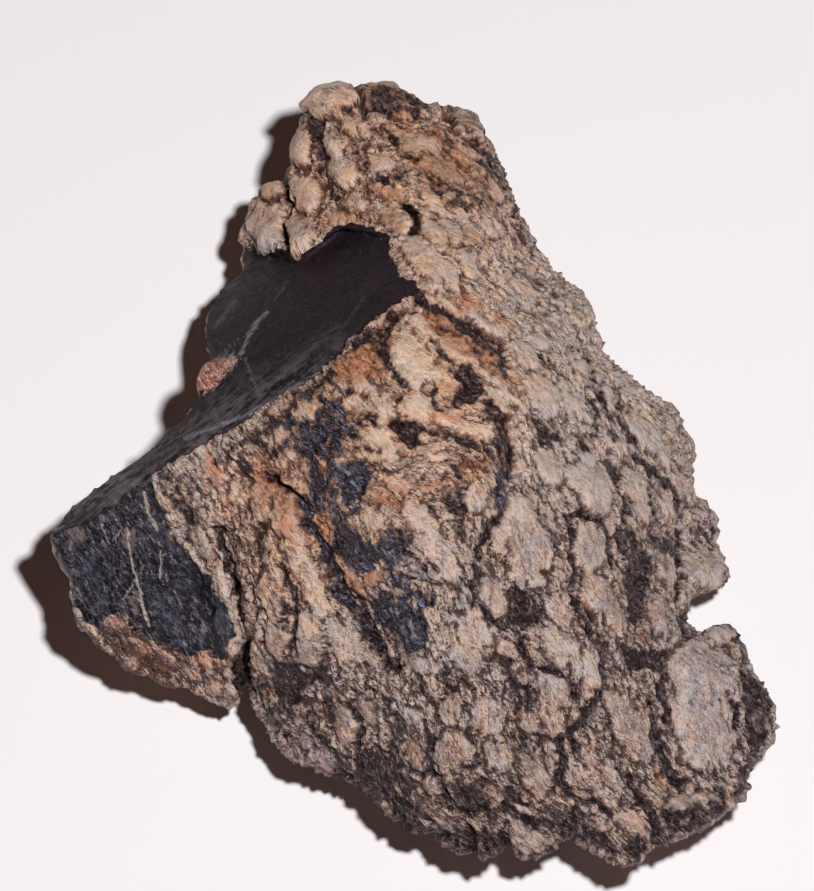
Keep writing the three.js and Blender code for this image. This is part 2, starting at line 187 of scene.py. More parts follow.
GRAIN = [
    # across, up, degrees: horn
    (-9, 43, -15), (-13, 37, -82), (-8, 35, -60), (-17, 28, -80), (-12.5, 29, -78), (-5.5, 29.5, -45),
    (-1, 29, -48), (5, 34, -38), (8, 31, -35), (2, 23, -55), (8, 22, -60), (12, 25, -60), (6, 18, -42),
    (10, 16, -38),
    # scar
    (0, 14, -55), (6, 11, -35), (2, 10, -25), (-3, 9, -55), (8, 3, -18), (-5, 5, -25), (12, 8, -55),
    (14, 2, -78), (13, -3, -90), (3, -1.5, -5), (5, -4, -8), (0, -8, -55), (4, -13, -72), (2, -15, -40),
    (6, -12, -85), (7, -20, -80), (-5, -5, -45), (-6, -12, -38), (-7, -17, -60),
    # right flank
    (16, 18, -40), (20, 14, -38), (18, 10, -45), (22, 8, -58), (24, 4, -60), (27, 4, -63), (18, 3, -45),
    (31, 1, -50), (26, -2, -56), (21, -4, -60), (16, -6, -65), (33, -4, -50), (36, -8, -50), (31, -8, -62),
    (24, -10, -78), (28, -12, -62), (22, -14, -82), (26, -18, -80), (18, -12, -75), (31, -16, -86),
    (37, -14, -40), (19, -20, -62), (24, -20, -75), (31, -22, -88), (18, -26, -55), (22, -28, -82),
    (14, -22, -60), (28, -24, -80), (36, -28, -75), (36, -36, -75), (41, -34, -88), (44, -34, -82),
    (28, -34, -70), (30, -38, -70), (26, -38, -60), (34, -43, -40), (20, -32, -80), (22, -37, -60),
    (16, -38, -65), (16, -42, -60), (22, -42, -48), (26, -44, -45), (20, -47, -35), (28, -47, -40),
    (14, -33, -85), (8, -30, -76), (5, -28, -76), (8, -36, -80), (3, -33, -62), (-3, -30, -55),
    (1, -38, -86), (5, -37, -70), (10, -34, -76), (10, -42, -52), (6, -42, -60), (-3, -37, -60),
    (4, -46, -35), (14, -47, -50),
    # left flank and wing
    (-16, -6, -62), (-15, -10, -80), (-12, -14, -66), (-10, -19, -60), (-16, -18, -82), (-17, -23, -86),
    (-12, -22, -76), (-8, -24, -56), (-5, -28, -55), (-11, -30, -52), (-16, -33, -42), (-15, -37, -38),
    (-18, -28, -72), (-19, -8, -75), (-20, -14, -82), (-21, -5, -62), (-25, -6, -60), (-28, -5, -65),
    (-27, -10, -60), (-23, -14, -75), (-35, -15, -70), (-30, -20, -60), (-36, -23, -45), (-30, -27, -35),
    (-24, -28, -60), (-21.5, -24, -80),
]
# the grain is drawn on a net of points this far apart, a little wider than the stone
GRAIN_STEP = 2.0
GRAIN_ACROSS = np.arange(-52, 53, GRAIN_STEP)
GRAIN_UP = np.arange(-60, 61, GRAIN_STEP)
# whole numbers that stir a place and a seed into one even random number
STIR_PLACE = (73856093, 19349663, 83492791)
STIR_SEED = (40503, 9176)
STIR_TWICE = ((13, 1274126177), (16, 2246822519))
STIR_WITHIN = 0xFFFFFFFF


def grain_angle(across, up):
    """Direction of the grain in radians, blended from the nearest of the known ones."""
    known = np.array(GRAIN, float)
    gap = (across[..., None] - known[:, 0]) ** 2 + (up[..., None] - known[:, 1]) ** 2
    weight = (gap + 2.0) ** -2.0
    angle = np.radians(known[:, 2])
    return np.arctan2((weight * np.sin(angle)).sum(-1), (weight * np.cos(angle)).sum(-1))


def grain_maps():
    """Two maps over the face, rising along the grain and across it, by least squares."""
    net_across, net_up = np.meshgrid(GRAIN_ACROSS, GRAIN_UP, indexing="ij")
    angle = grain_angle(net_across, net_up)
    number = np.arange(angle.size).reshape(angle.shape)
    pairs = [
        (number[:-1].ravel(), number[1:].ravel(), 0),
        (number[:, :-1].ravel(), number[:, 1:].ravel(), 1),
    ]
    system = np.zeros((angle.size, angle.size))
    sides = np.zeros((angle.size, 2))
    for low, high, way in pairs:
        mean = (angle.ravel()[low] + angle.ravel()[high]) / 2
        along = (np.cos(mean) if way == 0 else np.sin(mean)) * GRAIN_STEP
        beside = (-np.sin(mean) if way == 0 else np.cos(mean)) * GRAIN_STEP
        np.add.at(system, (low, low), 1)
        np.add.at(system, (high, high), 1)
        np.add.at(system, (low, high), -1)
        np.add.at(system, (high, low), -1)
        for column, rise in ((0, along), (1, beside)):
            np.add.at(sides, (high, column), rise)
            np.add.at(sides, (low, column), -rise)
    system[0, 0] += 1
    return np.linalg.solve(system, sides).reshape(*angle.shape, 2)


def look_up(maps, across, up):
    """Reads the two maps at places on the face."""
    x = np.clip((across - GRAIN_ACROSS[0]) / GRAIN_STEP, 0, len(GRAIN_ACROSS) - 1.001)
    y = np.clip((up - GRAIN_UP[0]) / GRAIN_STEP, 0, len(GRAIN_UP) - 1.001)
    i, j = x.astype(int), y.astype(int)
    s, t = (x - i)[:, None], (y - j)[:, None]
    near = maps[i, j] * (1 - s) + maps[i + 1, j] * s
    far = maps[i, j + 1] * (1 - s) + maps[i + 1, j + 1] * s
    return near * (1 - t) + far * t


def rough(places, seed):
    """Smooth random hills and hollows, one to each unit of distance, between about -1 and 1.
    Each seed gives a different set of them."""
    cell = np.floor(places).astype(np.int64)
    part = places - cell
    blend = part ** 3 * (part * (part * 6 - 15) + 10)
    total = np.zeros(len(places))
    for corner in range(8):
        step = np.array([(corner >> k) & 1 for k in range(3)])
        stirred = np.bitwise_xor.reduce((cell + step) * STIR_PLACE, axis=1)
        stirred ^= seed * STIR_SEED[0] + STIR_SEED[1]
        for shift, factor in STIR_TWICE:
            stirred = (stirred ^ (stirred >> shift)) * factor & STIR_WITHIN
        slopes = np.stack([((stirred >> shift) & 255) / 127.5 - 1 for shift in (0, 8, 16)], 1)
        share = np.where(step, blend, 1 - blend).prod(1)
        total += share * (slopes * (part - step)).sum(1)
    return total * 1.5


ends = np.empty(len(stone.data.edges) * 2, np.int64)
stone.data.edges.foreach_get("vertices", ends)
first_end, second_end = ends.reshape(-1, 2).T
neighbours = np.bincount(ends, minlength=len(stone.data.vertices))[:, None]


def evened(rows, times):
    """Each vertex's value averaged with its neighbours', again and again."""
    count = len(rows)
    for _ in range(times):
        total = np.stack([
            np.bincount(first_end, rows[second_end, k], count)
            + np.bincount(second_end, rows[first_end, k], count) for k in range(rows.shape[1])
        ], 1)
        rows = 0.5 * rows + 0.5 * total / neighbours
    return rows


# the gully beside the wing has silted up, so it is shallow: how high the silt stands along it
GULLY = [(-23.2, -9.5), (-21.8, -12.0), (-21.4, -20.0), (-20.6, -25.0), (-20.4, -33.0)]
SILT_UP = [-34.0, -32.0, -30.0, -28.0, -24.0, -20.0, -16.0, -12.0, -10.0, -8.0]
SILT_OUT = [-12.0, -4.0, 2.0, 5.4, 9.6, 13.2, 14.4, 15.0, 15.6, 17.0]
SILT_HALF_WIDTH = 3.4
SILT_EVENING = 60
places = vertex_places()
across, up, out = on_face(places)
near_gully = path_gap(across, up, GULLY)
short = np.clip(np.interp(up, SILT_UP, SILT_OUT) - out, 0, None)
short *= ease(SILT_HALF_WIDTH, 2.6, near_gully) * ease(-7.5, -9.5, up) * (out > -6)
places += short[:, None] * OUT_FACE * MM
silt = ease(SILT_HALF_WIDTH, 1.4, near_gully) * ease(-7.0, -9.0, up) * ease(-31, -27, up)
places += (evened(places, SILT_EVENING) - places) * silt[:, None]
stone.data.vertices.foreach_set("co", places.ravel())
stone.data.update()

# where each vertex lies: on the face, along the grain, and in the stone's own millimetres
across, up, out = on_face(places)
normal = vertex_normals()
facing = normal @ OUT_FACE
front = ease(-0.4, -0.1, facing)
along, beside = look_up(grain_maps(), across, up).T
grain = np.stack((along, beside, out), 1)
body = places / MM
angle = grain_angle(across, up)
flow = np.cos(angle)[:, None] * CROSS + np.sin(angle)[:, None] * UP_FACE
flow -= (flow * normal).sum(1)[:, None] * normal
flow /= np.linalg.norm(flow, axis=1)[:, None] + 1e-9
sideways = np.cross(normal, flow)

# edges of everything carved wander by this much
drift = np.stack([
    0.45 * rough(body / 2.4, seed) + 0.3 * rough(body / 1.1, seed + 3)
    + 0.15 * rough(body / 0.55, seed + 6) for seed in (1, 2, 3)
], 1)
wander_across, wander_up = across + drift[:, 0], up + drift[:, 1]
wandered = body + 1.3 * drift


def within_reach(path, reach):
    """Numbers of the face's vertices that are near enough to a path to matter."""
    points = np.array(path, float)
    low, high = points.min(0) - reach, points.max(0) + reach
    near_across = (wander_across > low[0]) & (wander_across < high[0])
    near_up = (wander_up > low[1]) & (wander_up < high[1])
    return np.flatnonzero((facing > -0.5) & near_across & near_up)


def lines(strokes, soft):
    """0 to 1 for how far each vertex lies within strokes of (half width, strength, path)."""
    cover = np.zeros(len(across))
    for half_width, strength, path in strokes:
        near = within_reach(path, half_width + 2 * soft)
        gap = path_gap(wander_across[near], wander_up[near], path)
        part = strength * ease(-soft, soft, half_width - gap)
        cover[near] = np.maximum(cover[near], part)
    return cover


def areas(patches, soft):
    """0 to 1 for how far each vertex lies within patches of (strength, outline)."""
    cover = np.zeros(len(across))
    for strength, outline in patches:
        near = within_reach(outline, 2 * soft)
        part = strength * ease(-soft, soft, inside_by(wander_across[near], wander_up[near], outline))
        cover[near] = np.maximum(cover[near], part)
    return cover


def ovals(blobs):
    """For each oval (across, up, half length, half width, degrees, ...): the vertices near it, how
    far each is toward its edge (1) and toward its lower end (1) or upper end (-1)."""
    for blob in blobs:
        *middle, half_length, half_width, degrees = blob[:5]
        near = within_reach([middle], half_length * 1.6 + 0.6)
        turn = math.radians(degrees)
        right, above = wander_across[near] - middle[0], wander_up[near] - middle[1]
        run = (right * math.cos(turn) + above * math.sin(turn)) / half_length
        side = (-right * math.sin(turn) + above * math.cos(turn)) / half_width
        ragged_edge = 0.2 * rough(body[near] / 1.7, 9)
        ragged_edge += 0.25 * rough(grain[near] / (2.6, 0.9, 2.6), 10)
        reach = np.hypot(run, side) * (1 + ragged_edge)
        lean = np.clip(-(right * 0.35 + above) / (0.7 * half_length + 0.3 * half_width), -1, 1)
        yield blob, near, reach, lean


def stains(rows, outer, inner, adding=False):
    """How strongly ovals of (strength, then an oval) cover each vertex: nothing at the outer reach,
    full at the inner one. Where ovals meet, the strongest counts, or they add up."""
    cover = np.zeros(len(across))
    for strength, *oval in rows:
        for _, near, reach, _ in ovals([oval]):
            part = strength * ease(outer, inner, reach)
            cover[near] = cover[near] + part if adding else np.maximum(cover[near], part)
    return cover


# ---- The small lumps of the crust ----
# All over, the crust is broken into crumbs a millimetre or two long, pulled out along the grain,
# with hair cracks between them that carry painted shade. They were left as the softer bond weathered away.

# more cells than fit along the stone
MOST_CELLS = 2048
# how many of the nearest crumbs are compared to find the one that a vertex belongs to
CRUMBS_COMPARED = 7
CRUMB_SIZES = (0.65, 1.4)
CRUMB_THICKNESS = 0.6


def scatter(gap, seed):
    """Picks vertices about one gap apart, in millimetres."""
    order = np.random.default_rng(seed).permutation(len(body))
    cell = np.floor(body[order] / gap).astype(np.int64)
    key = (cell[:, 0] * MOST_CELLS + cell[:, 1]) * MOST_CELLS + cell[:, 2]
    _, first = np.unique(key, return_index=True)
    return order[np.sort(first)]


def crumbs(gap, stretch, seed):
    """Cells of the crust: distance to the cell's edge (0 at the edge), its own randoms, its tilt."""
    picks = scatter(gap, seed)
    nearby = kdtree.KDTree(len(picks))
    for number, vertex in enumerate(picks):
        nearby.insert(body[vertex], number)
    nearby.balance()
    found = np.array([[hit[1] for hit in nearby.find_n(place, CRUMBS_COMPARED)] for place in wandered])
    middle = picks[found]
    away = wandered[:, None, :] - body[middle]
    size = np.random.default_rng(seed + 1).uniform(*CRUMB_SIZES, len(picks))[found]
    run = (away * flow[middle]).sum(2) / stretch
    side = (away * sideways[middle]).sum(2)
    lift = (away * normal[middle]).sum(2) * CRUMB_THICKNESS
    reach = np.sqrt(run ** 2 + side ** 2 + lift ** 2) / size
    nearest = np.argsort(reach, axis=1)[:, :2]
    rows = np.arange(len(body))
    chosen = nearest[:, 0]
    first, second = reach[rows, chosen], reach[rows, nearest[:, 1]]
    edge = (second - first) / (second + first + 1e-9)
    chance = np.random.default_rng(seed + 2).uniform(-1, 1, (len(picks), 3))[found[rows, chosen]]
    downhill = run[rows, chosen] * (0.35 + chance[:, 1]) + side[rows, chosen] * chance[:, 0]
    return edge, chance, downhill / gap


big_edge, big_chance, big_tilt = crumbs(gap=2.0, stretch=2.3, seed=11)
small_edge, small_chance, small_tilt = crumbs(gap=0.98, stretch=1.9, seed=21)
big_dome = ease(0, 0.45, big_edge)
small_dome = ease(0, 0.6, small_edge)
streak = rough(grain / (2.4, 0.8, 2.4), 31) + 0.7 * rough(grain / (1.3, 0.5, 1.3), 32)
ridges = 1 - 2.4 * np.abs(rough(grain / (4.2, 1.2, 4.2), 30))
mottle = rough(body / 5.5, 33) + 0.5 * rough(body / 2.4, 34)

# behind and below, the lumps are broader
broad_edge, broad_chance, broad_tilt = crumbs(gap=4.4, stretch=1.5, seed=91)
broad_dome = ease(0, 0.5, broad_edge)


# ---- The lumps that stand out ----
# Larger knobs and plates that weathered proud of the crust. Their tops are smooth and highest
# toward the lower end, and a seam is cut round each one where it meets its neighbours; painted
# shade darkens the seam, most on its lower side.

KNOBS = [
    # across, up, half length, half width, degrees, rise, paleness: horn
    (-9.4, 43.2, 3.4, 2, 8, 1.2, 0.75), (-3.6, 44, 2.6, 1.6, 20, 1, -0.1), (7.6, 40, 2, 1.4, -50, 1.4, 0),
    (-1.2, 42.6, 2, 1.3, -35, 0.7, -0.2), (-13.1, 37.3, 2.6, 1.2, -86, 1.2, 0.45),
    (-8.9, 37, 1.9, 1.1, -72, 1, 0.9), (-7.9, 34.2, 2.2, 1.6, -52, 1.1, 0.9),
    (-7.5, 40.5, 1.8, 0.9, -60, 0.5, 0.4), (-5.7, 40, 1.5, 0.7, -65, 0.4, 0.3),
    (-12.3, 31.3, 2.6, 1.7, -62, 1.3, 0.95), (-13.2, 26.6, 2.4, 1.9, 80, 1.3, 0.8),
    (-17.6, 27.6, 3.2, 1.8, -80, 1.3, 0.7), (-16.8, 31.9, 1.4, 1.3, 0, 0.9, 0.2),
    (-10.2, 31, 1.1, 0.6, -50, 0.4, 0.3), (-6.3, 30.4, 1.8, 1.3, -20, 0.6, 0.6),
    (-8.3, 28.6, 1.5, 0.9, 20, 0.4, 0.3), (-3, 35.3, 1.7, 0.9, -12, 0.5, 0.8),
    (-2.4, 31.6, 2.6, 0.8, -15, 0.4, 0.2), (-1.6, 28.1, 1.9, 1.3, -50, 0.4, 0.3),
    (1.8, 37.4, 2.7, 1.3, -5, 0.5, 0.5), (-0.4, 38.8, 1.9, 0.9, -8, 0.4, 0.3),
    (4.4, 34.4, 2.8, 1.3, -35, 0.6, 0.5), (1.2, 34.5, 0.9, 0.7, -30, 0.4, 0),
    (7, 36.4, 1.8, 0.9, -35, 0.4, 0.3), (11, 32, 1.6, 1.1, -60, 0.4, 0.4),
    (2.2, 23.2, 3.6, 1.6, -55, 0.6, 0.7), (5.2, 21.2, 2.6, 1.1, -60, 0.5, 0.7),
    (7.7, 22.6, 2.4, 0.9, -65, 0.4, 0.6), (3, 26.6, 2.7, 0.9, -50, 0.5, 0.7),
    (5.5, 26.6, 2, 0.8, -50, 0.4, 0.4), (8.2, 26.4, 1.5, 0.9, -40, 0.4, 0.3),
    (10.6, 27.2, 1.7, 1, -50, 0.4, 0.5), (9.9, 23, 1.7, 0.8, -60, 0.4, 0.5),
    (11.2, 21, 1.5, 0.7, -55, 0.4, 0.5), (12.6, 24, 1.6, 0.8, -55, 0.4, 0.4),
    (3.6, 30.2, 2.6, 0.9, -50, 0.4, 0.6), (6.5, 29, 1.7, 0.8, -45, 0.3, 0.4),
    (15, 21.5, 1.8, 0.9, -50, 0.4, 0.4), (14.2, 18.4, 2.4, 1.3, -45, 0.5, 0.6),
    (8, 16.6, 1.3, 0.9, -35, 0.4, 0.5), (10.6, 14.4, 2.2, 0.7, -38, 0.4, 0.6),
    # scar
    (5.9, 11.7, 3.6, 1.2, -33, 0.6, 0.85), (1.7, 14.7, 2.6, 1.1, -38, 0.5, 0.9),
    (0.3, 10.6, 3.6, 2.3, -58, 0.8, 0.75), (2.9, 9.2, 2.2, 1.3, -20, 0.5, 0.75),
    (4.6, 7.2, 1.2, 1.1, 0, 0.4, 0.5), (1.2, 4.8, 2.3, 1.7, 18, 0.9, 1),
    (-5.3, 7.5, 1.9, 1.2, -20, 0.5, 0.7), (-4.5, 4.5, 3.2, 1.4, -15, 0.5, 0.45),
    (-8.6, 7, 0.8, 0.4, -10, 0.3, 0.8), (-11.9, 4.5, 1.8, 1.2, 80, 0.6, 0.7),
    (11.9, 6.7, 3.8, 0.7, -44, 0.5, 1), (11.1, 5.5, 2, 0.8, -40, 0.3, 0.5),
    (8.5, 1.7, 2.5, 1, -12, 0.5, 0.7), (5.6, 2.8, 2.6, 0.8, -10, 0.4, 0.35),
    (3.2, -1.6, 2.7, 0.6, 3, 0.3, 0.8), (-3.4, 0.4, 2.5, 1.3, -32, 0.4, 0.6),
    (-4.1, -1.4, 2.6, 0.7, -8, 0.3, 0.7), (8.4, -6.4, 1.6, 1.5, 0, 0.4, 0.6),
    (-1, -4.7, 1.9, 0.9, -10, 0.3, 0.45), (-4.4, -9, 1.8, 1.2, -40, 0.5, 0.6),
    (1.6, -9, 2.5, 1.3, -42, 0.4, 0.65), (3.4, -12.7, 2.6, 1.5, -60, 0.4, 0.7),
    (5.2, -15.2, 2, 1.1, -70, 0.3, 0.6), (-4, -16.3, 1.15, 1.05, 0, 0.4, 0.3),
    (-6, -17.2, 2.2, 0.7, -60, 0.4, 0.4), (-1, -18.3, 1.3, 0.6, -10, 0.3, 0.2),
    (0.9, -22.7, 1.8, 0.8, -66, 0.5, 0), (1.3, -27, 1.9, 1.1, -20, 0.3, 0.4),
    # right flank
    (14, -11.6, 6, 3, -72, 0.5, 0.7), (16.6, 12.9, 1.5, 0.8, -40, 0.3, 0.5),
    (15, 11.2, 2.2, 1.2, -50, 0.4, 0.55), (17, 6, 3, 1.6, -55, 0.5, 0.6),
    (21.2, 10.4, 2.2, 1, -50, 0.4, 0.4), (20.8, 5.2, 2, 1.2, -60, 0.4, 0.5),
    (25, 6, 1.9, 0.8, -58, 0.4, 0.4), (22.6, -4.8, 3.8, 2.1, -62, 0.7, 0.75),
    (17.6, -2.8, 2.6, 1.6, -62, 0.5, 0.55), (25.6, 0, 1.9, 0.9, -58, 0.4, 0.3),
    (29.6, 1.6, 2.9, 1.7, -55, 0.6, 0.75), (28.4, 5.2, 2.6, 1.3, -50, 0.5, 0.6),
    (32, -1.4, 2.4, 0.9, -52, 0.4, 0.6), (28.8, -6.6, 3.8, 1.2, -66, 0.6, 0.65),
    (32.4, -7.4, 2.6, 1, -52, 0.5, 0.45), (34.6, -5.6, 2.2, 0.8, -52, 0.4, 0.5),
    (22.7, -12.6, 3, 1.6, -84, 0.8, 0.6), (23.3, -18.4, 2.9, 1.7, -78, 0.6, 0.65),
    (25.4, -20.8, 2.8, 1.4, -75, 0.5, 0.6), (17.2, -9.4, 1.9, 1.1, -62, 0.3, 0.45),
    (28.4, -14.8, 1.9, 0.45, -68, 0.3, 0.3), (32.5, -15.6, 2, 1.4, -88, 0.5, 0.5),
    (31, -21, 2.6, 0.9, -86, 0.5, 0.5), (37, -15.2, 2.7, 2.5, -40, 0.5, 0.45),
    (18.8, -24.8, 2.8, 1.9, -52, 0.8, 0.65), (22.6, -27.8, 2.8, 1.8, -84, 0.9, 0.7),
    (18.2, -30.8, 2.4, 1.9, -60, 0.6, 0.55), (18, -34, 2.2, 1.6, -60, 0.5, 0.5),
    (18.6, -20.6, 2.3, 1.2, -58, 0.4, 0.5), (10.6, -19, 2.8, 1.6, -72, 0.5, 0.6),
    (8.4, -22.6, 2.3, 2.3, 0, 0.4, 0.6), (7.8, -26.4, 2.2, 1.9, -70, 0.4, 0.65),
    (12.6, -25.4, 1.4, 1.2, 0, 0.4, 0.3), (10, -33.2, 2.6, 1.9, -76, 0.5, 0.5),
    (27.8, -35.4, 3.8, 2, -66, 0.6, 0.65), (26, -31.8, 1.8, 1.2, -50, 0.3, 0.5),
    (22.2, -41.2, 2.3, 1.2, -12, 0.7, 0.7), (22.4, -38.6, 1.7, 1, -50, 0.5, 0.35),
    (16, -40.4, 2.8, 1.9, -62, 0.7, 0.65), (25.4, -41, 1.8, 1, -50, 0.5, 0.5),
    (21.4, -44, 1.6, 0.9, -50, 0.4, 0.4), (28.4, -47.2, 2.6, 1.3, -36, 0.7, 0.6),
    (24.6, -43.6, 1.7, 0.8, -45, 0.4, 0.5), (23.2, -47, 1.9, 0.8, -35, 0.5, 0.35),
    (36, -28.2, 4.4, 3.4, -60, 0.3, 0.6), (36.4, -35.4, 4.8, 4.2, -80, 0.3, 0.75),
    (39, -23.8, 1.3, 1, -20, 0.4, 0.4), (44, -34, 2, 1.2, -85, 0.3, 0), (36.6, -43.8, 2.4, 1, -5, 0.4, 0.1),
    (33.6, -44.6, 1.4, 1, -30, 0.4, 0.2),
    # front
    (5.3, -32.8, 1.9, 1.3, -75, 0.7, 0.75), (0.6, -33.2, 1.5, 0.9, -20, 0.4, 0.6),
    (1, -38.2, 2.1, 0.9, -88, 0.5, 0.3), (5.6, -37.6, 2.5, 2.2, -60, 0.6, 0.4),
    (11.4, -38.6, 2.2, 1.6, -40, 0.5, 0.5), (3, -42, 1.7, 1.3, -30, 0.6, 0.35),
    (-7.4, -35, 2.5, 1.4, -74, 0.7, 0.55), (-4.6, -33.4, 1.7, 1, -55, 0.4, 0.3),
    (11, -43.4, 1.8, 0.9, -60, 0.4, 0.6), (14, -45.4, 2.2, 0.9, -25, 0.5, 0.4),
    (15, -48.6, 2.6, 1.5, -30, 0.6, 0.4), (4.6, -46.6, 2, 1, -30, 0.5, 0.1),
    (15, -34, 1.6, 1.3, -40, 0.5, 0.4), (-10, -39, 1.9, 0.9, -38, 0.4, 0),
    # left flank
    (-15.2, -8.8, 2.7, 1.7, -80, 0.9, 0.75), (-18.2, -7, 2.8, 1.1, -78, 0.6, 0.45),
    (-13.8, -12.4, 3.6, 1.5, -72, 0.7, 0.6), (-11.8, -17.4, 4, 1.4, -68, 0.7, 0.6),
    (-16.6, -18.6, 3.4, 1.6, -84, 0.7, 0.45), (-16.2, -24.4, 1.9, 1.3, -80, 0.6, 0.2),
    (-12, -24, 3.2, 1.7, -82, 0.7, 0.6), (-8, -24.4, 2.9, 1.7, -55, 0.6, 0.65),
    (-11.6, -26.8, 2.3, 0.8, -5, 0.3, 0.75), (-17.2, -5, 1.6, 1, -60, 0.4, 0.5),
    # between the wing and the flank
    (-25.2, -1.4, 1.8, 0.7, -70, 0.5, 0.5), (-23.6, -3.6, 1.5, 1.1, -40, 0.5, 0.4),
    (-21.4, -5.8, 2.1, 0.8, -62, 0.6, 0.55), (-26.4, -5.8, 2.2, 0.6, -62, 0.4, 0.45),
    (-28, -7, 2.2, 0.5, -62, 0.4, 0.4), (-23, -9.4, 1.4, 0.6, -40, 0.4, 0.5),
    (-25.4, -12.6, 2.4, 0.9, -62, 0.5, 0.35), (-22.6, -18.2, 3.6, 0.7, -72, 0.5, 0.5),
    (-21.4, -24.8, 3.6, 0.9, -84, 0.5, 0.5), (-18.8, -22.6, 2, 0.4, -80, 0.3, 0.4),
    (-16, 1.4, 2.2, 0.9, -60, 0.4, 0.3), (-12, -3, 1.9, 0.9, -60, 0.3, 0.2),
    # the wing's lower edge
    (-36.4, -22.2, 1.8, 1.1, -35, 0.6, 0.35), (-34, -24.8, 2.4, 1, -35, 0.5, 0.45),
    (-30.6, -26.2, 2.2, 1, -30, 0.5, 0.3), (-25, -26.6, 1.5, 1, -50, 0.5, 0.4),
    (-27, -28.2, 1.6, 0.9, -35, 0.4, 0.2), (-24, -29.8, 1.5, 1.1, -70, 0.5, 0.3),
    (-33.4, -27.4, 2.2, 0.9, -38, 0.4, 0),
    # teeth along the bottom edge
    (5.3, -50.4, 1.5, 0.8, -72, 1.2, 0), (1.4, -49, 1.2, 0.7, -60, 0.8, 0),
    (14.4, -50, 1.4, 0.8, -60, 0.9, 0),
]

knob_room = np.zeros(len(across))
knob_cover = np.zeros(len(across))
knob_seam = np.zeros(len(across))
knob_pale = np.zeros(len(across))
knob_rise = np.zeros(len(across))
for (_, _, _, half_width, _, height, paleness), near, reach, lean in ovals(KNOBS):
    knob_room[near] = np.maximum(knob_room[near], ease(1.1, 0.8, reach))
    cover = ease(1.15, 0.85, reach)
    dome = np.sqrt(np.clip(1 - (reach / 1.12) ** 2, 0, 1)) * (0.85 + 0.25 * lean)
    seam = np.exp(-((reach - 1.12) * half_width / 0.3) ** 2) * (0.75 + 0.25 * np.sign(lean))
    knob_rise[near] = np.maximum(knob_rise[near], height * (0.5 + 0.4 * half_width) * dome)
    stronger = cover > knob_cover[near]
    knob_pale[near] = np.where(stronger, paleness, knob_pale[near])
    knob_seam[near] = np.maximum(knob_seam[near] * (1 - cover), seam * (1 - knob_cover[near]))
    knob_cover[near] = np.maximum(knob_cover[near], cover)
knob_cover *= front
knob_seam *= front * ease(-0.6, 0.1, rough(body / 2.2, 43))

# the smooth round lumps on the horn's left side
left_lumps = ease(-10.5, -12.5, across) * ease(20, 22, up) * knob_room
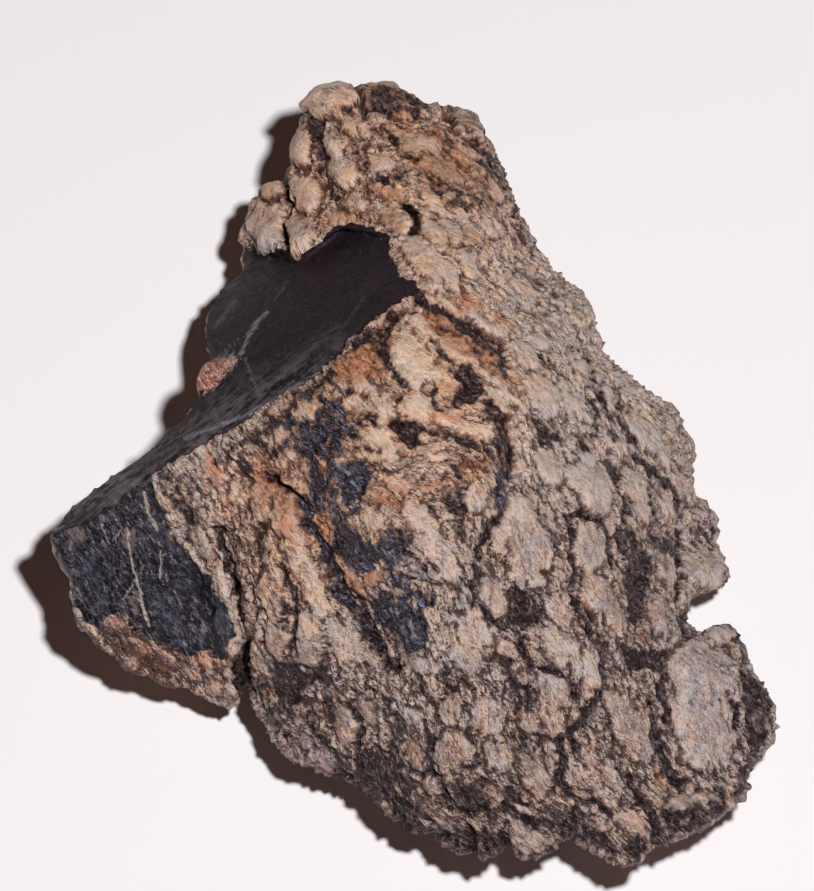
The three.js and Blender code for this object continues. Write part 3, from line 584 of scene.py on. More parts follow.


# ---- Soot, char and rust ----
# The crust was burnt on the way down. Char still lies in the seams, thickest round the scar under
# the peak, with orange rust beside it where water got in. A few char strokes are painted shade: the
# dark band under the step along the scar's upper edge, the broad groove left of the scar and the
# cleft beside the wing.

CHAR_LINES = [
    # half width, strength, path: horn
    (0.6, 0.7, [(3.2, 33.2), (5, 32.2), (7, 31), (9, 30.2)]),
    (0.3, 0.9, [(-4.2, 33.6), (-2.5, 33), (0, 33.6), (0.6, 34.6)]),
    (0.7, 0.9, [(-11.8, 40.4), (-11.6, 38.6), (-10.8, 36.8)]),
    (0.35, 0.8, [(-10.4, 36.4), (-9.8, 34.6), (-8.8, 33.4)]),
    (0.4, 0.75, [(-0.2, 36.2), (1.6, 35.8), (2.8, 36), (3.2, 34.8)]),
    (0.6, 0.6, [(3.6, 32), (5.6, 30.4), (7.8, 29.4)]),
    (0.4, 0.8, [(-3.2, 39.6), (-2.2, 38.2), (-0.6, 37.6)]),
    (0.3, 0.7, [(-6.8, 38.8), (-6, 36.6), (-6.2, 34.8)]),
    (0.35, 0.9, [(-15.4, 33.4), (-15, 30.4), (-15.2, 27.4), (-14.8, 24.8)]),
    (0.3, 0.8, [(-18, 31), (-16.4, 30.8), (-15.4, 31.2)]),
    (0.3, 0.8, [(-11.4, 42.2), (-9, 41.6), (-7, 42), (-5.6, 42.6)]),
    (0.35, 0.7, [(-10.8, 34.4), (-9.8, 32.4), (-8.6, 31.2), (-7.6, 29.4)]),
    (0.3, 0.7, [(-5.4, 38), (-5, 35.6), (-5.2, 33.6), (-4.4, 31.4)]),
    (0.5, 0.6, [(6, 40), (8.4, 38.4), (10, 36), (11, 33.8)]),
    (0.4, 0.7, [(12.4, 31), (13.6, 28.4), (14.4, 26), (15.6, 23.6)]),
    (0.3, 0.6, [(6.6, 25.2), (8.8, 24.2), (10.4, 25.2)]),
    (0.45, 0.6, [(13.2, 22), (15.4, 20.4), (17.6, 19.8), (19.4, 18.2)]),
    # scar
    # painted shadow: the dark band under the step along the scar's upper right edge, laid on as char
    (0.75, 1, [(1.6, 18.6), (3, 17), (5, 15.8), (7, 14.6), (8.6, 13), (10, 12), (11.6, 11.4), (12, 10.4)]),
    (0.3, 0.9, [(3, 17.6), (6, 16), (8, 15), (9.6, 13.6), (11.8, 12.4), (12.4, 10), (12.4, 8.6)]),
    (0.45, 0.8, [(2, 13.2), (3.6, 12.8), (4.6, 10.6), (5.6, 9.6)]),
    (0.6, 0.75, [(-2.4, 16.2), (-2.6, 13.6), (-3, 11.4), (-1.8, 9), (-0.6, 7.6)]),
    (0.5, 0.7, [(-5.2, 14), (-4.2, 12.8), (-3.4, 13.2)]),
    (0.5, 0.85, [(2.4, 1.6), (4.4, 1.4), (5.6, 1.2), (7, 0.4), (9, 0), (10.6, -0.6)]),
    (0.85, 0.85, [(9.8, 5), (10.6, 3.4), (11.6, 1.6), (12.3, -0.6), (12.1, -3), (11.6, -5.6)]),
    (0.65, 0.75, [(11.4, -7), (10.4, -9.6), (9, -12), (8.4, -15), (8.6, -18), (9.2, -20), (10.4, -22)]),
    (0.4, 0.8, [(-2.2, 6.4), (-0.8, 5.6), (-1, 4)]),
    (0.45, 0.75, [(5.4, -5.6), (5, -7), (5.8, -8.4), (6.6, -7)]),
    (0.3, 0.8, [(2.8, -7.6), (3.6, -8.4)]),
    (0.5, 0.7, [(6.4, -3), (7, -5), (6.6, -9.6), (7.2, -11.6)]),
    (0.35, 0.6, [(-0.4, -3.2), (1.2, -4.2), (3.2, -3.4), (4.4, -4.4)]),
    (0.3, 0.8, [(10.2, -16), (10.3, -17), (10.2, -18.6)]),
    (0.3, 0.7, [(5.6, -17.8), (6.2, -19.6)]),
    (0.35, 0.7, [(8, -17), (8, -20)]),
    (0.3, 0.9, [(11.6, -12), (12, -13), (12.1, -14)]),
    (0.7, 0.9, [(-1.9, 18.2), (-1.9, 16.4), (-2.2, 14), (-2.6, 12), (-3, 10.6)]),
    (0.25, 1, [(-7, 0), (-5.4, -0.4), (-3.4, -0.8)]),
    (0.4, 0.9, [(-23.6, -2), (-20.4, 0.2), (-17.2, 2), (-14.6, 4.4), (-12.6, 6.4), (-10.6, 7.6),
        (-9.2, 9.4)]),
    (0.3, 0.9, [(-14, 6.6), (-12.4, 6.8), (-11.8, 5.8)]),
    (0.35, 0.9, [(-9.4, 8.4), (-8.4, 7.2), (-7, 6.6)]),
    (0.5, 0.9, [(-18.6, 1), (-17.4, -0.6), (-16, -0.8), (-14.4, 0.8)]),
    (0.5, 0.8, [(-20.6, -1), (-20.2, -3), (-19, -4.4)]),
    (0.25, 1, [(-4.6, 8.6), (-4, 7.6), (-3.6, 6.8)]),
    (0.3, 0.9, [(3.3, 6.4), (3.7, 5.2), (3.4, 4.6), (4.6, 4.2)]),
    (0.35, 0.9, [(-10.6, 6), (-10.2, 4.8), (-11, 3.6), (-10.2, 2.6)]),
    (0.9, 0.9, [(11.4, 3.6), (11.6, 1.6), (11.9, -0.4)]),
    (0.8, 0.9, [(-12.6, 2), (-12.4, -0.6), (-11.4, -2.6), (-11.2, -5), (-10.6, -7.6)]),
    (0.7, 0.85, [(-9.4, -1.6), (-9.2, -4.4), (-9, -7.4), (-8.6, -9.6)]),
    (0.5, 0.85, [(-6.4, -7.4), (-7.8, -9.4)]),
    (0.7, 0.85, [(-2, -14.4), (-1.4, -16.4), (0.6, -17.8), (-0.4, -19.4)]),
    (0.8, 0.85, [(-14, 2), (-15.4, 3.4), (-17, 2.4)]),
    (0.6, 0.8, [(-6.4, 2.2), (-4.8, 3.2), (-3.6, 3.4)]),
    # left flank
    # painted shade: the shaded wall of the broad groove left of the scar, laid on as char
    (0.9, 0.7, [(-13.6, -5.6), (-13, -7.4), (-12.6, -9.4), (-11.2, -11.2), (-10, -13), (-9.2, -15.4)]),
    (0.9, 0.7, [(-8.6, -17.4), (-7.4, -19), (-6.2, -20.4), (-5.2, -22), (-4.2, -24), (-2.4, -26.6),
        (-1, -27.8)]),
    (0.35, 1, [(-17.4, -3.8), (-15.6, -5), (-14.2, -5.8), (-13.4, -7)]),
    (0.3, 0.8, [(-15.4, -16), (-15.1, -18), (-14.9, -20.4)]),
    (0.3, 0.8, [(-14.8, -22), (-15.4, -23.4)]),
    (0.5, 0.8, [(-18.4, -10), (-17.8, -12.4), (-17.6, -14.8), (-18.4, -16.6)]),
    (0.5, 0.9, [(-10.3, -26.8), (-9.7, -27.8), (-9.8, -29.2)]),
    (0.45, 0.8, [(-9.6, -31.4), (-9.4, -32.6), (-9, -33.6)]),
    (0.6, 0.7, [(-18.4, -29), (-17.6, -31.6), (-16.2, -34.6), (-14, -37), (-11.4, -39.4)]),
    (0.5, 0.8, [(-12.4, -33.6), (-10.8, -36.2), (-9.4, -38.6), (-7.2, -40.2)]),
    # striations below the scar
    (0.28, 1, [(-0.8, -14), (0.8, -15.3), (2.2, -16.1)]),
    # right flank
    (0.7, 0.9, [(10.2, -26.4), (12, -26.2), (12.8, -28)]),
    (0.35, 0.9, [(20.2, 1.4), (21.4, 0.6), (22.4, -0.8)]),
    (0.3, 0.8, [(21.2, -0.2), (21.2, -2)]),
    (0.35, 0.8, [(16.4, 11.6), (17.6, 10.4), (18.6, 9), (20, 8)]),
    (0.3, 0.9, [(20, 12.2), (21.6, 11.8), (22.6, 10.6), (23.2, 9), (23.4, 7.8)]),
    (0.35, 0.9, [(24.2, 7.6), (25.4, 7), (26.2, 5.8), (26.6, 4.2), (26.8, 2.6), (27.6, 1.2), (28.2, 0),
        (29, -1)]),
    (0.4, 0.8, [(23, 7), (24.2, 5.6), (25, 4), (25.6, 3)]),
    (0.45, 0.8, [(22, 5.4), (23.2, 5.2), (23.4, 3.6), (23.4, 2), (22.8, 0.6)]),
    (0.5, 0.8, [(25.2, 1.6), (25.6, 1)]),
    (0.35, 0.8, [(27, 2), (28, 0.6), (28.4, -1)]),
    (0.55, 0.9, [(28.6, -1.6), (30, -2.6), (31.4, -3.6), (32, -4.4), (33, -5.4), (33.8, -6.6), (33.8, -8)]),
    (0.4, 0.7, [(29.2, -4.6), (30, -6), (30.6, -7.6), (30.4, -9)]),
    (0.3, 0.8, [(16.4, -8.6), (17.2, -10), (18.2, -11)]),
    (0.3, 0.8, [(18, -10.6), (19.6, -12)]),
    (0.4, 0.8, [(20.4, -18.6), (21.6, -21), (22.4, -23.4), (24.4, -24.8)]),
    (0.4, 0.8, [(33.8, -10.6), (33.9, -14), (33.8, -18)]),
    (0.35, 0.9, [(33, -18), (33.6, -20), (34.4, -22), (34.6, -23.8)]),
    (0.3, 0.9, [(31.8, -25.8), (31.6, -28), (31.6, -30), (32, -32), (32.2, -34)]),
    (0.5, 0.8, [(30.8, -35.4), (31.4, -37), (31.8, -39.2), (33, -41), (34, -42)]),
    (0.3, 0.8, [(34.4, -38.2), (34.9, -38.8)]),
    (0.35, 0.8, [(38, -22.6), (40.4, -22.8), (41, -24.4), (42.4, -27)]),
    (0.4, 0.85, [(24.2, -26), (24.2, -28), (24, -30), (23.4, -32.4), (22.4, -33.4)]),
    (0.35, 0.8, [(20.2, -30), (21, -31.6)]),
    (0.6, 0.8, [(22, -33), (21, -34.6), (20, -36), (21, -37.6)]),
    (0.25, 1, [(25.4, -30.6), (26.6, -31)]),
    (0.3, 0.7, [(16.6, -38.4), (17.4, -40), (18.2, -41.6)]),
    (0.7, 0.9, [(22, -47), (24, -48.6), (26, -50.4), (28, -51), (30, -50), (33, -48), (36, -46.6),
        (39, -44.8)]),
    (0.4, 0.8, [(29.8, -31), (29.9, -33.4), (30.6, -35.6)]),
    # front
    (0.35, 0.8, [(4.6, -27), (5, -29), (5.6, -30.6)]),
    (0.25, 0.8, [(5.7, -30.6), (6, -33), (5.8, -35.6)]),
    (0.5, 0.8, [(7.4, -28.6), (8.2, -30.4)]),
    (0.4, 0.8, [(8, -35), (8, -37), (8.2, -39.6)]),
    (0.45, 0.8, [(13, -28), (13.2, -31), (13.6, -33.6)]),
    (0.4, 0.7, [(14.4, -30), (15.2, -32.4)]),
    (0.35, 0.8, [(14.6, -35.6), (14.2, -37), (15.2, -38.2), (16.2, -37), (16, -35.6)]),
    (0.5, 0.8, [(2.6, -34.4), (3, -37), (2.6, -39.6)]),
    (0.5, 0.8, [(-1.2, -35), (-1.4, -37), (-2, -39)]),
    (0.45, 0.9, [(12.2, -42.4), (13.4, -43.8), (14.6, -44.6)]),
    (0.8, 0.8, [(-9, -40.6), (-6, -42), (-3, -43), (0, -44.6)]),
    (0.7, 0.8, [(0, -46.6), (4, -48.4), (8, -49.4), (12, -50.6), (15, -51)]),
    (0.5, 0.8, [(16.4, -49.4), (18.4, -50.4), (20.4, -49.6)]),
    (0.4, 0.7, [(-4.6, -29.6), (-3, -31.4), (-1.6, -33)]),
    (0.4, 0.6, [(0.4, -28.8), (2.2, -30), (3.4, -31.6)]),
]
# seams that are filled with char and also cut into the crust
SEAMS = [
    # char's half width and strength, cut's half width and depth in millimetres, path: horn
    (0.35, 0.9, 0.4, 0.7, [(-10.9, 40.2), (-10.8, 38.4), (-10.4, 36.2)]),
    # left flank
    (0.4, 1, 0.25, 0.8, [(-15.6, -15.2), (-15.4, -16), (-14.9, -17)]),
    (0.35, 0.9, 0.2, 0.6, [(-14.9, -16.2), (-14.2, -18), (-13.6, -20), (-13.8, -22), (-14, -24),
        (-14.4, -25.6)]),
    (0.3, 0.9, 0.3, 0.6, [(-7.4, -32), (-6.6, -33), (-6, -34.4), (-5.8, -36), (-5.9, -37.6)]),
    # striations below the scar
    (0.28, 1, 0.3, 0.6, [(-1.2, -12.6), (0.8, -14), (2.2, -15.4)]),
    (0.28, 1, 0.3, 0.6, [(-0.8, -16), (2, -16.7), (4, -17.1)]),
    # right flank
    (0.35, 0.8, 0.5, 0.7, [(14.4, -24), (14.6, -26), (16, -27.6), (18, -28), (20, -29), (20.6, -31)]),
    (0.4, 1, 0.25, 0.6, [(24.6, -2.2), (25.6, -3.4), (26.2, -4.8), (26.8, -6.4), (27, -8), (26.8, -9.4)]),
    (0.42, 1, 0.3, 0.7, [(20.6, -8.8), (21.8, -8.4), (22.8, -9), (24, -9.2), (24.6, -10), (24.8, -11.4),
        (25, -13), (25.4, -15)]),
    (0.35, 0.9, 0.25, 0.6, [(19.2, -8.4), (20, -9.8), (20.2, -11.6), (20.6, -13.4), (20.6, -15.6),
        (20.4, -17)]),
    (0.3, 1, 0.25, 0.6, [(40.8, -32), (41, -33.4), (40.7, -35.2)]),
    (0.5, 0.85, 0.5, 0.8, [(18.8, -36), (19, -39), (18.8, -42), (19.8, -43.6), (21.6, -44.4), (23.6, -44.2),
        (25, -45.6)]),
    (0.6, 0.85, 0.4, 0.7, [(27.6, -41), (28.6, -43), (29.4, -45), (30.6, -46.4), (31.6, -48)]),
    # front
    (0.45, 1, 0.5, 0.9, [(12, -44.8), (14, -46), (16, -47)]),
    (0.4, 0.85, 0.4, 0.7, [(1.6, -41), (3, -40.4), (4.2, -41.4), (4.8, -43.4), (5.6, -45), (7.4, -45.6),
        (9.6, -45)]),
]
CHAR_PATCHES = [
    # strength, outline: horn
    (0.72, [(-6.2, 44.6), (-6, 42.2), (-4, 41.2), (-1, 41.2), (1.6, 41.4), (3, 42.6), (1.6, 44.8)]),
    (0.55, [(5.4, 40.8), (7, 38.6), (9.6, 37.6), (10.4, 39.6), (8, 41.6)]),
    (0.65, [(9, 36.6), (9.4, 33.4), (12.2, 31.4), (13.4, 33.6), (11.6, 36.6)]),
    (0.35, [(3, 40), (3.4, 36.6), (6, 35.6), (9.4, 34.2), (8.6, 37.6), (6, 40.6)]),
    # scar
    (0.95, [(5, 9.4), (7, 10), (8.8, 9.2), (9.6, 8), (9.4, 6.6), (9, 5.6), (7, 4.6), (5.6, 4.6), (5.8, 6.4),
        (6.4, 7.6)]),
    (1, [(-2.6, 2.6), (-1.2, 3.4), (-0.4, 3), (2, 2.6), (2.6, 2), (1.6, 0.6), (2.2, -0.2), (0.2, -0.4),
        (-0.8, 0.4), (-1.8, 1.6)]),
    (0.85, [(-13.6, 2.2), (-12, 2), (-10.6, 3.4), (-10, 5.8), (-7.6, 5.8), (-7.8, 3.6), (-6.6, 2.4),
        (-6.2, 1), (-7.6, 0.4), (-8, -1.6), (-9.4, -1.6), (-9.6, -0.6), (-10.6, -1.6), (-12.6, -1.4),
        (-14, -0.6)]),
    (0.9, [(-9.2, -2), (-5.8, -1.8), (-4.2, -3.6), (-4.6, -5), (-5.4, -7), (-7.4, -7), (-9, -5)]),
    (0.9, [(-12.4, -4.6), (-9.6, -4.4), (-9.4, -7.4), (-11.8, -8.4)]),
    (0.95, [(-8.6, -8.4), (-7, -10), (-5, -11.8), (-3, -11.4), (-2, -10), (-0.6, -9.6), (0.6, -11),
        (1, -12.4), (-0.4, -13), (0, -14.2), (-1.6, -14), (-3.6, -14.2), (-5, -15.8), (-6.6, -15),
        (-8, -13.8), (-9.4, -12.6)]),
    (1, [(-3, -17.8), (-1.6, -19.4), (0.2, -19.8), (1.8, -20.2), (2, -23), (2, -25.4), (0.2, -25.6),
        (-1, -23.4), (-3.4, -21.8), (-4.4, -19)]),
    (0.7, [(0.4, -17.4), (3.4, -18), (3.6, -20), (2, -20.4)]),
    (0.8, [(-7.2, 14.6), (-5.4, 15.2), (-2.8, 14.4), (-2.4, 12.4), (-3.4, 11.2), (-4.6, 12.4),
        (-6.8, 12.2)]),
    (0.6, [(-7.4, 4), (-5, 4.4), (-3.8, 3.6), (-4.6, 2.2), (-6.6, 2)]),
    (0.85, [(4.6, -5.6), (6.4, -5.2), (7.4, -6.6), (6.8, -7), (6, -8.6), (5, -8.4), (4.4, -7)]),
    (0.9, [(10.9, -4), (12.4, -4.2), (12.3, -6.6), (11.6, -8.2), (10.7, -7.6)]),
    (0.5, [(1.4, 18.4), (4.4, 16.4), (8, 14.4), (11.4, 12), (12.8, 8.6), (12.2, 7.6), (10.4, 9.8), (7.4, 12),
        (4.4, 13.8)]),
    (0.45, [(6, -0.8), (9, -1.2), (12, -1.2), (12, -4), (9.4, -3.2), (7, -2.8)]),
    # right flank
    (0.7, [(12, -16.6), (13.6, -17.8), (14.6, -17.4), (16.6, -20), (17.4, -21.6), (16.4, -22.2),
        (14.6, -22.8), (14, -24), (12.4, -22.8), (10.6, -23), (10.4, -21.8), (12.6, -20.6), (13.4, -20),
        (12.4, -18.4)]),
    (0.85, [(14.8, 3.6), (16, 3.8), (17, 2.8), (18.6, 1.4), (19, 0.6), (18, -0.6), (17.2, -0.8), (16.6, 0.2),
        (15.6, 0.4), (15.8, 1.4)]),
    (0.7, [(25.8, -9.8), (28, -10.4), (29.6, -12.6), (30.8, -14.4), (30.6, -16), (30, -18), (29.6, -20),
        (29.8, -21.8), (28, -22), (27.2, -20), (26.8, -17.6), (26.6, -14), (25.8, -12)]),
    (0.75, [(30.4, -11.2), (32.2, -11.6), (34, -11.4), (33.8, -14.2), (32, -13.6), (30.6, -13)]),
    (0.8, [(26.2, -24.8), (27.4, -25.2), (28.8, -25.6), (30, -25), (31.8, -26), (31.6, -28.6), (30.2, -28.2),
        (29, -28), (27.6, -28.4), (26.2, -27)]),
    (0.75, [(41.4, -28), (43, -28), (44.4, -30), (45.6, -30.4), (45.4, -36), (44.2, -36.8), (43.2, -38.4),
        (42.8, -40.6), (42, -43.4), (41, -44.4), (40, -43.6), (40.2, -42), (41.6, -40), (42.2, -38),
        (41.8, -35), (41.6, -31)]),
    (0.6, [(36, -42.4), (39.4, -42.4), (40, -44.6), (36, -47), (31, -49.4), (27, -51.6), (25, -50.4),
        (30, -46.4), (33, -44.6)]),
    (0.5, [(37.4, -5.4), (39.8, -9), (39.6, -13), (40.6, -16.4), (39.6, -18.4), (38.8, -14), (38, -10),
        (36.4, -7.4)]),
    # front
    (0.75, [(6.4, -41), (9.6, -41.2), (9.6, -45), (7.2, -45.2), (6.2, -43.6)]),
    (0.7, [(-6, -38), (-3.4, -38.4), (0.6, -40), (0.6, -43.6), (-3, -44.4), (-6.4, -42)]),
    (0.7, [(17, -44.6), (20, -44.8), (23.4, -46.2), (24.4, -48.4), (21, -48.8), (17.8, -47)]),
    (0.6, [(-2, -44.4), (3, -45.4), (4, -49.4), (-1, -48.4)]),
    (0.6, [(5.4, -47), (12.4, -48), (13.4, -52), (6.4, -51)]),
    # left flank
    (0.85, [(-17, -26.5), (-14.4, -26.6), (-13.4, -28), (-11.4, -28), (-10, -27), (-9.4, -28.4),
        (-10, -29.6), (-12, -29.4), (-12.6, -31), (-14.6, -33), (-16, -31.6), (-16.6, -29.4)]),
    (0.9, [(-21.8, -26), (-20, -25), (-19, -28), (-19.4, -31), (-20.6, -33), (-22.4, -29)]),
    (0.5, [(-31, -2), (-26, -4.2), (-25.2, -8), (-27, -10.6), (-29.6, -8), (-31.4, -5)]),
]
# the scar's char is blue-black
BLUE_CHAR = [
    # strength, across, up, half length, half width, degrees
    (1, -8, -6, 13, 6, -70), (1, -1, -21, 6, 4, -60), (1, 11.6, -5.5, 3.5, 1.6, -80), (1, -12, 2, 4, 3, 0),
]
CLEFT_OUTLINE = [
    (-24.4, -10.2), (-22.5, -9.6), (-22.1, -11.8), (-21.9, -13.8), (-21.1, -15.4), (-20.5, -17.6),
    (-20.8, -19.4), (-21.6, -18.6), (-22.1, -16.4), (-22.9, -14), (-23.8, -12.6),
]
RUST = [
    # strength, across, up, half length, half width, degrees
    (0.8, -2.2, 14, 4.2, 0.8, 80), (0.7, -4.6, 9, 3.4, 1, -30), (0.8, 9.6, 11.2, 3, 1.1, -35),
    (0.7, 4.4, 14.4, 5, 0.8, -38), (0.6, 5, 3.4, 3.4, 0.9, -8), (0.7, 8.2, -2.6, 3.2, 0.9, 5),
    (0.6, 3.4, -4.8, 3.4, 0.9, 0), (0.6, -2.2, -6.6, 3, 1, -10), (0.8, -11, -3.4, 2, 1.3, -70),
    (0.8, -10.4, -10.4, 2.6, 1.3, -70), (0.7, -6.6, -17.4, 3, 1.1, -60), (0.6, -13.4, 5, 1.6, 1, 60),
    (0.7, -17.4, -4, 4, 1.3, -60), (0.8, -24, -2.6, 2.6, 1.1, -70), (0.6, -15, -9, 3.4, 1.2, -75),
    (0.6, 8, 17.6, 3, 0.8, -35), (0.6, 11.6, 15.6, 2.6, 0.7, -40), (0.5, 13.4, 8, 3, 0.7, -60),
    (0.9, -4, -16.3, 1.3, 1.2, 0), (0.6, -6, -17.2, 2.4, 0.9, -60), (1, -6.4, 10.2, 3.4, 1.8, 35),
    (0.4, -11.9, 4.6, 1.8, 1.4, 80), (0.6, 4.6, 7.2, 1.5, 1.2, 0), (0.6, 0.6, 6.3, 1.4, 0.5, -10),
    (0.5, 11.2, 9.6, 2.2, 0.9, -50), (0.55, 9, 13.2, 4.6, 0.7, -40), (0.35, 6, 2.8, 3, 1, -10),
    (0.5, 7.2, -4, 2.4, 0.7, 10), (0.4, -1, -5, 2.4, 1.2, -15), (0.7, -10, -9.8, 2.4, 1, -75),
    (0.5, -18.2, -6, 2.6, 1.3, -70), (0.4, -16.2, -24.4, 1.9, 1.4, -80), (0.8, -17.4, -30, 2.4, 0.6, -68),
    (0.5, -8.3, 28.6, 1.8, 1, 20), (0.6, -2.4, 31.4, 3, 1, -15), (0.5, -1.6, 28.2, 2, 1.4, -50),
    (0.6, 3.4, 38.6, 3, 1.4, -20), (0.6, 6, 36, 3.2, 1.8, -40), (0.5, -0.6, 39.4, 2.4, 0.8, 0),
    (0.6, 0.8, 35.6, 2.6, 0.9, -20), (0.5, 8.2, 26.4, 1.8, 1.2, -50), (0.5, 6.6, 17.2, 2.6, 1.2, -35),
    (0.7, 29.2, -23.6, 1.6, 0.5, -80), (0.7, 31, -40.8, 2.8, 0.5, -72), (0.4, 28.4, -46.8, 2.4, 1.2, -36),
    (0.5, 22.2, -20.6, 1.6, 0.6, -60), (0.4, 33, -11, 3, 0.7, -60), (0.5, 16.2, -27, 1.2, 0.5, -50),
    (0.55, -36.5, -22, 1.3, 0.9, -30), (0.4, -25.2, -26.4, 1.6, 1.1, -50), (0.2, -33.6, -25, 3, 1.2, -35),
    (0.4, -24.4, -4, 3, 2.4, -60), (0.4, -22.4, -7.4, 2.6, 1, -60), (0.3, -24, -14.6, 2.6, 1.2, -62),
    (0.35, 1.2, -38.2, 2, 1, -88), (0.3, 5.6, -37.4, 2.2, 2, -60), (0.3, -12.4, -5.6, 1.6, 1.2, -60),
    (0.4, 15.6, 8.4, 3, 0.8, -50), (0.4, 12.8, 1.4, 2.6, 0.6, -78), (0.4, 9.4, -13.2, 2.2, 0.5, -60),
]
# fields where the stone is darker, and, with a strength below 0, a few where it is paler
TONE_FIELDS = [
    # strength, across, up, half length, half width, degrees
    (0.45, 24, -22, 18, 13, -65), (0.6, 10, -36, 18, 9, -10), (1.1, 6, -49, 26, 6, -14),
    (0.55, -11, -33, 9, 7, -45), (0.35, 28, -44, 12, 7, 30), (0.2, -12, 32, 6, 10, 80),
    (1.3, -34, -28.5, 10, 3, -30), (1.25, -31, -27, 10, 5, -30), (0.5, 43, -37, 3, 9, 5),
    (0.3, 29, -19, 3, 9, 0), (0.5, -20, -14, 4, 16, 10), (0.45, -14, -14, 4, 14, 10),
    (0.15, -4, 43, 8, 3, 0), (-0.9, 19, 9, 10, 13, -50), (-0.35, 6, 24, 8, 12, 0), (-1, 1, 8, 7, 9, 0),
    (0.3, -3, -21, 5, 4, 0), (0.45, 12, 38, 5, 2.5, -60), (0.3, -13, -22, 5, 4, -60),
    (0.4, 2, -51, 20, 3, -12), (-0.3, 20, -6, 7, 8, 0), (0.25, -3, 43, 4, 3, 0), (0.15, 6, 39, 5, 4, 0),
    (0.25, 4, -41, 14, 6, -10),
]
# painted glints, highlights in the scar's char, and pale fibres below it
GLINT_HIGHLIGHTS_AND_FIBRES = [
    # half width, paleness, path
    (0.22, 0.9, [(0.4, -21.6), (1, -23.6)]), (0.12, 0.6, [(-0.4, -22.4), (0.2, -24.2)]),
    (0.2, 0.6, [(-8.3, -2.4), (-7.3, -3.6)]), (0.18, 0.6, [(-6.9, -4.4), (-6, -5.6)]),
    (0.16, 0.7, [(-2, -20.2), (-1, -20.8)]), (0.1, 0.7, [(-2, -14.6), (0, -15.8), (3.6, -16.8)]),
    (0.1, 0.6, [(-0.8, -13.4), (0.6, -14.8), (2.4, -16.2)]),
    (0.1, 0.5, [(-9.6, 7.4), (-8.2, 6.9), (-7.4, 7.2)]), (0.14, 0.7, [(14.7, -36.7), (15.3, -37.2)]),
]
# where the heat only browned the stone
SCORCHED = [
    # strength, outline
    (1, [(1.4, 18.4), (4.4, 16.4), (8, 14.4), (11.4, 12), (12.8, 8.6), (11.8, 6.4), (10.6, 8.6), (7.4, 10.6),
        (4.6, 12.4), (2.2, 14.8)]),
    (0.9, [(-9.6, 10.2), (-6, 12.6), (-2.6, 14.6), (-2.2, 10.8), (-3.6, 8), (-6.4, 7.2), (-8.8, 8)]),
    (0.8, [(6, -0.6), (9, -1), (12.2, -1), (12, -4.4), (9.4, -3.4), (7, -3.2)]),
    (0.8, [(-18, -2), (-14.4, -2.4), (-12.8, -6.4), (-10.8, -12.4), (-12.4, -13), (-15, -7.4),
        (-17.6, -4.6)]),
    (0.7, [(0, 34.6), (4, 36), (9, 34.4), (12.6, 30.2), (10.6, 28.6), (5.6, 31.2), (1.4, 32.4)]),
]
CHAR_SPREAD = 0.55
SCORCH_SPREAD = 2.2
SCORCHED_SPREAD = 1.2

char_lines = CHAR_LINES + [(half_width, strength, path) for half_width, strength, _, _, path in SEAMS]
char = np.maximum(lines(char_lines, CHAR_SPREAD), areas(CHAR_PATCHES, CHAR_SPREAD))
# painted shade: the cleft beside the wing is darkened as char
char = np.maximum(char, areas([(0.75, CLEFT_OUTLINE)], CHAR_SPREAD))
scorch = np.maximum(lines(char_lines, SCORCH_SPREAD), areas(CHAR_PATCHES, SCORCH_SPREAD))
scorch = np.maximum(scorch, areas(SCORCHED, SCORCHED_SPREAD))
blue_char = stains(BLUE_CHAR, outer=1.3, inner=0.7)
rust = stains(RUST, outer=1.35, inner=0.35)
tone_and_shade = stains(TONE_FIELDS, outer=1.6, inner=0.4, adding=True)


# ---- The wing ----
# A blue-black glassy field of crust stands out on the left, below the break. It is smooth, with
# pale scratches and a few small pits, and its lower edge crumbles into tan grit. Painted highlights
# and patches of painted blue sheen lie on it, and painted shade runs along its ledge and steps.

WING_OUTLINE = [
    (-48, -8.2), (-44, -8.6), (-41, -8.4), (-38.5, -7), (-36, -5.6), (-34, -4), (-32, -2.8), (-31.2, -6),
    (-29.8, -8), (-30.6, -9.8), (-29.4, -12), (-28.6, -12.6), (-27.2, -13.8), (-26, -15.2), (-25.6, -16),
    (-23.8, -16.2), (-24.4, -17.8), (-23.2, -19), (-22.6, -20.6), (-21.8, -22.4), (-21.8, -23.6),
    (-22.6, -24.2), (-22.4, -26), (-23, -26.9), (-23.9, -26.6), (-24.2, -25.4), (-26.2, -25.6),
    (-26.4, -26.2), (-28.4, -26), (-29.4, -25), (-31, -24.4), (-33, -23.8), (-34, -22.2), (-35.2, -21),
    (-36.4, -20.8), (-38, -21), (-38, -23), (-39.8, -21.8), (-41.6, -19.8), (-43.4, -18), (-47, -15),
]
WING_SCRATCHES = [
    # half width, paleness, path
    (0.13, 1, [(-34.9, -10.2), (-34.4, -14), (-33.6, -16.8), (-32.9, -20.4), (-32.2, -22.5)]),
    (0.16, 0.8, [(-32.7, -5.8), (-32, -8.8), (-31, -10.5)]), (0.08, 0.9, [(-30.7, -13), (-30.5, -16.4)]),
    (0.08, 0.7, [(-37.9, -9.8), (-37.2, -12.2)]), (0.07, 0.7, [(-35.6, -10.4), (-36.6, -11.8)]),
    (0.06, 0.6, [(-34.2, -17.2), (-35.2, -19.2)]), (0.06, 0.6, [(-29, -18), (-28, -20.2)]),
]
# where the crust is rubbed to brown beside the scratches
WING_SCUFFS = [
    # strength, outline
    (0.8, [(-35.4, -10), (-33.6, -10.2), (-33.2, -12.6), (-34.6, -13.6), (-36, -12.6)]),
    (0.8, [(-34.9, -18), (-33.6, -18.2), (-33, -21), (-34.4, -21.2)]),
    (0.6, [(-33, -5.8), (-31.8, -6.6), (-31.2, -9.4), (-32.4, -9.2)]),
    (0.6, [(-43.6, -9.4), (-40.6, -9.2), (-39.6, -11.4), (-41.8, -13.6)]),
]
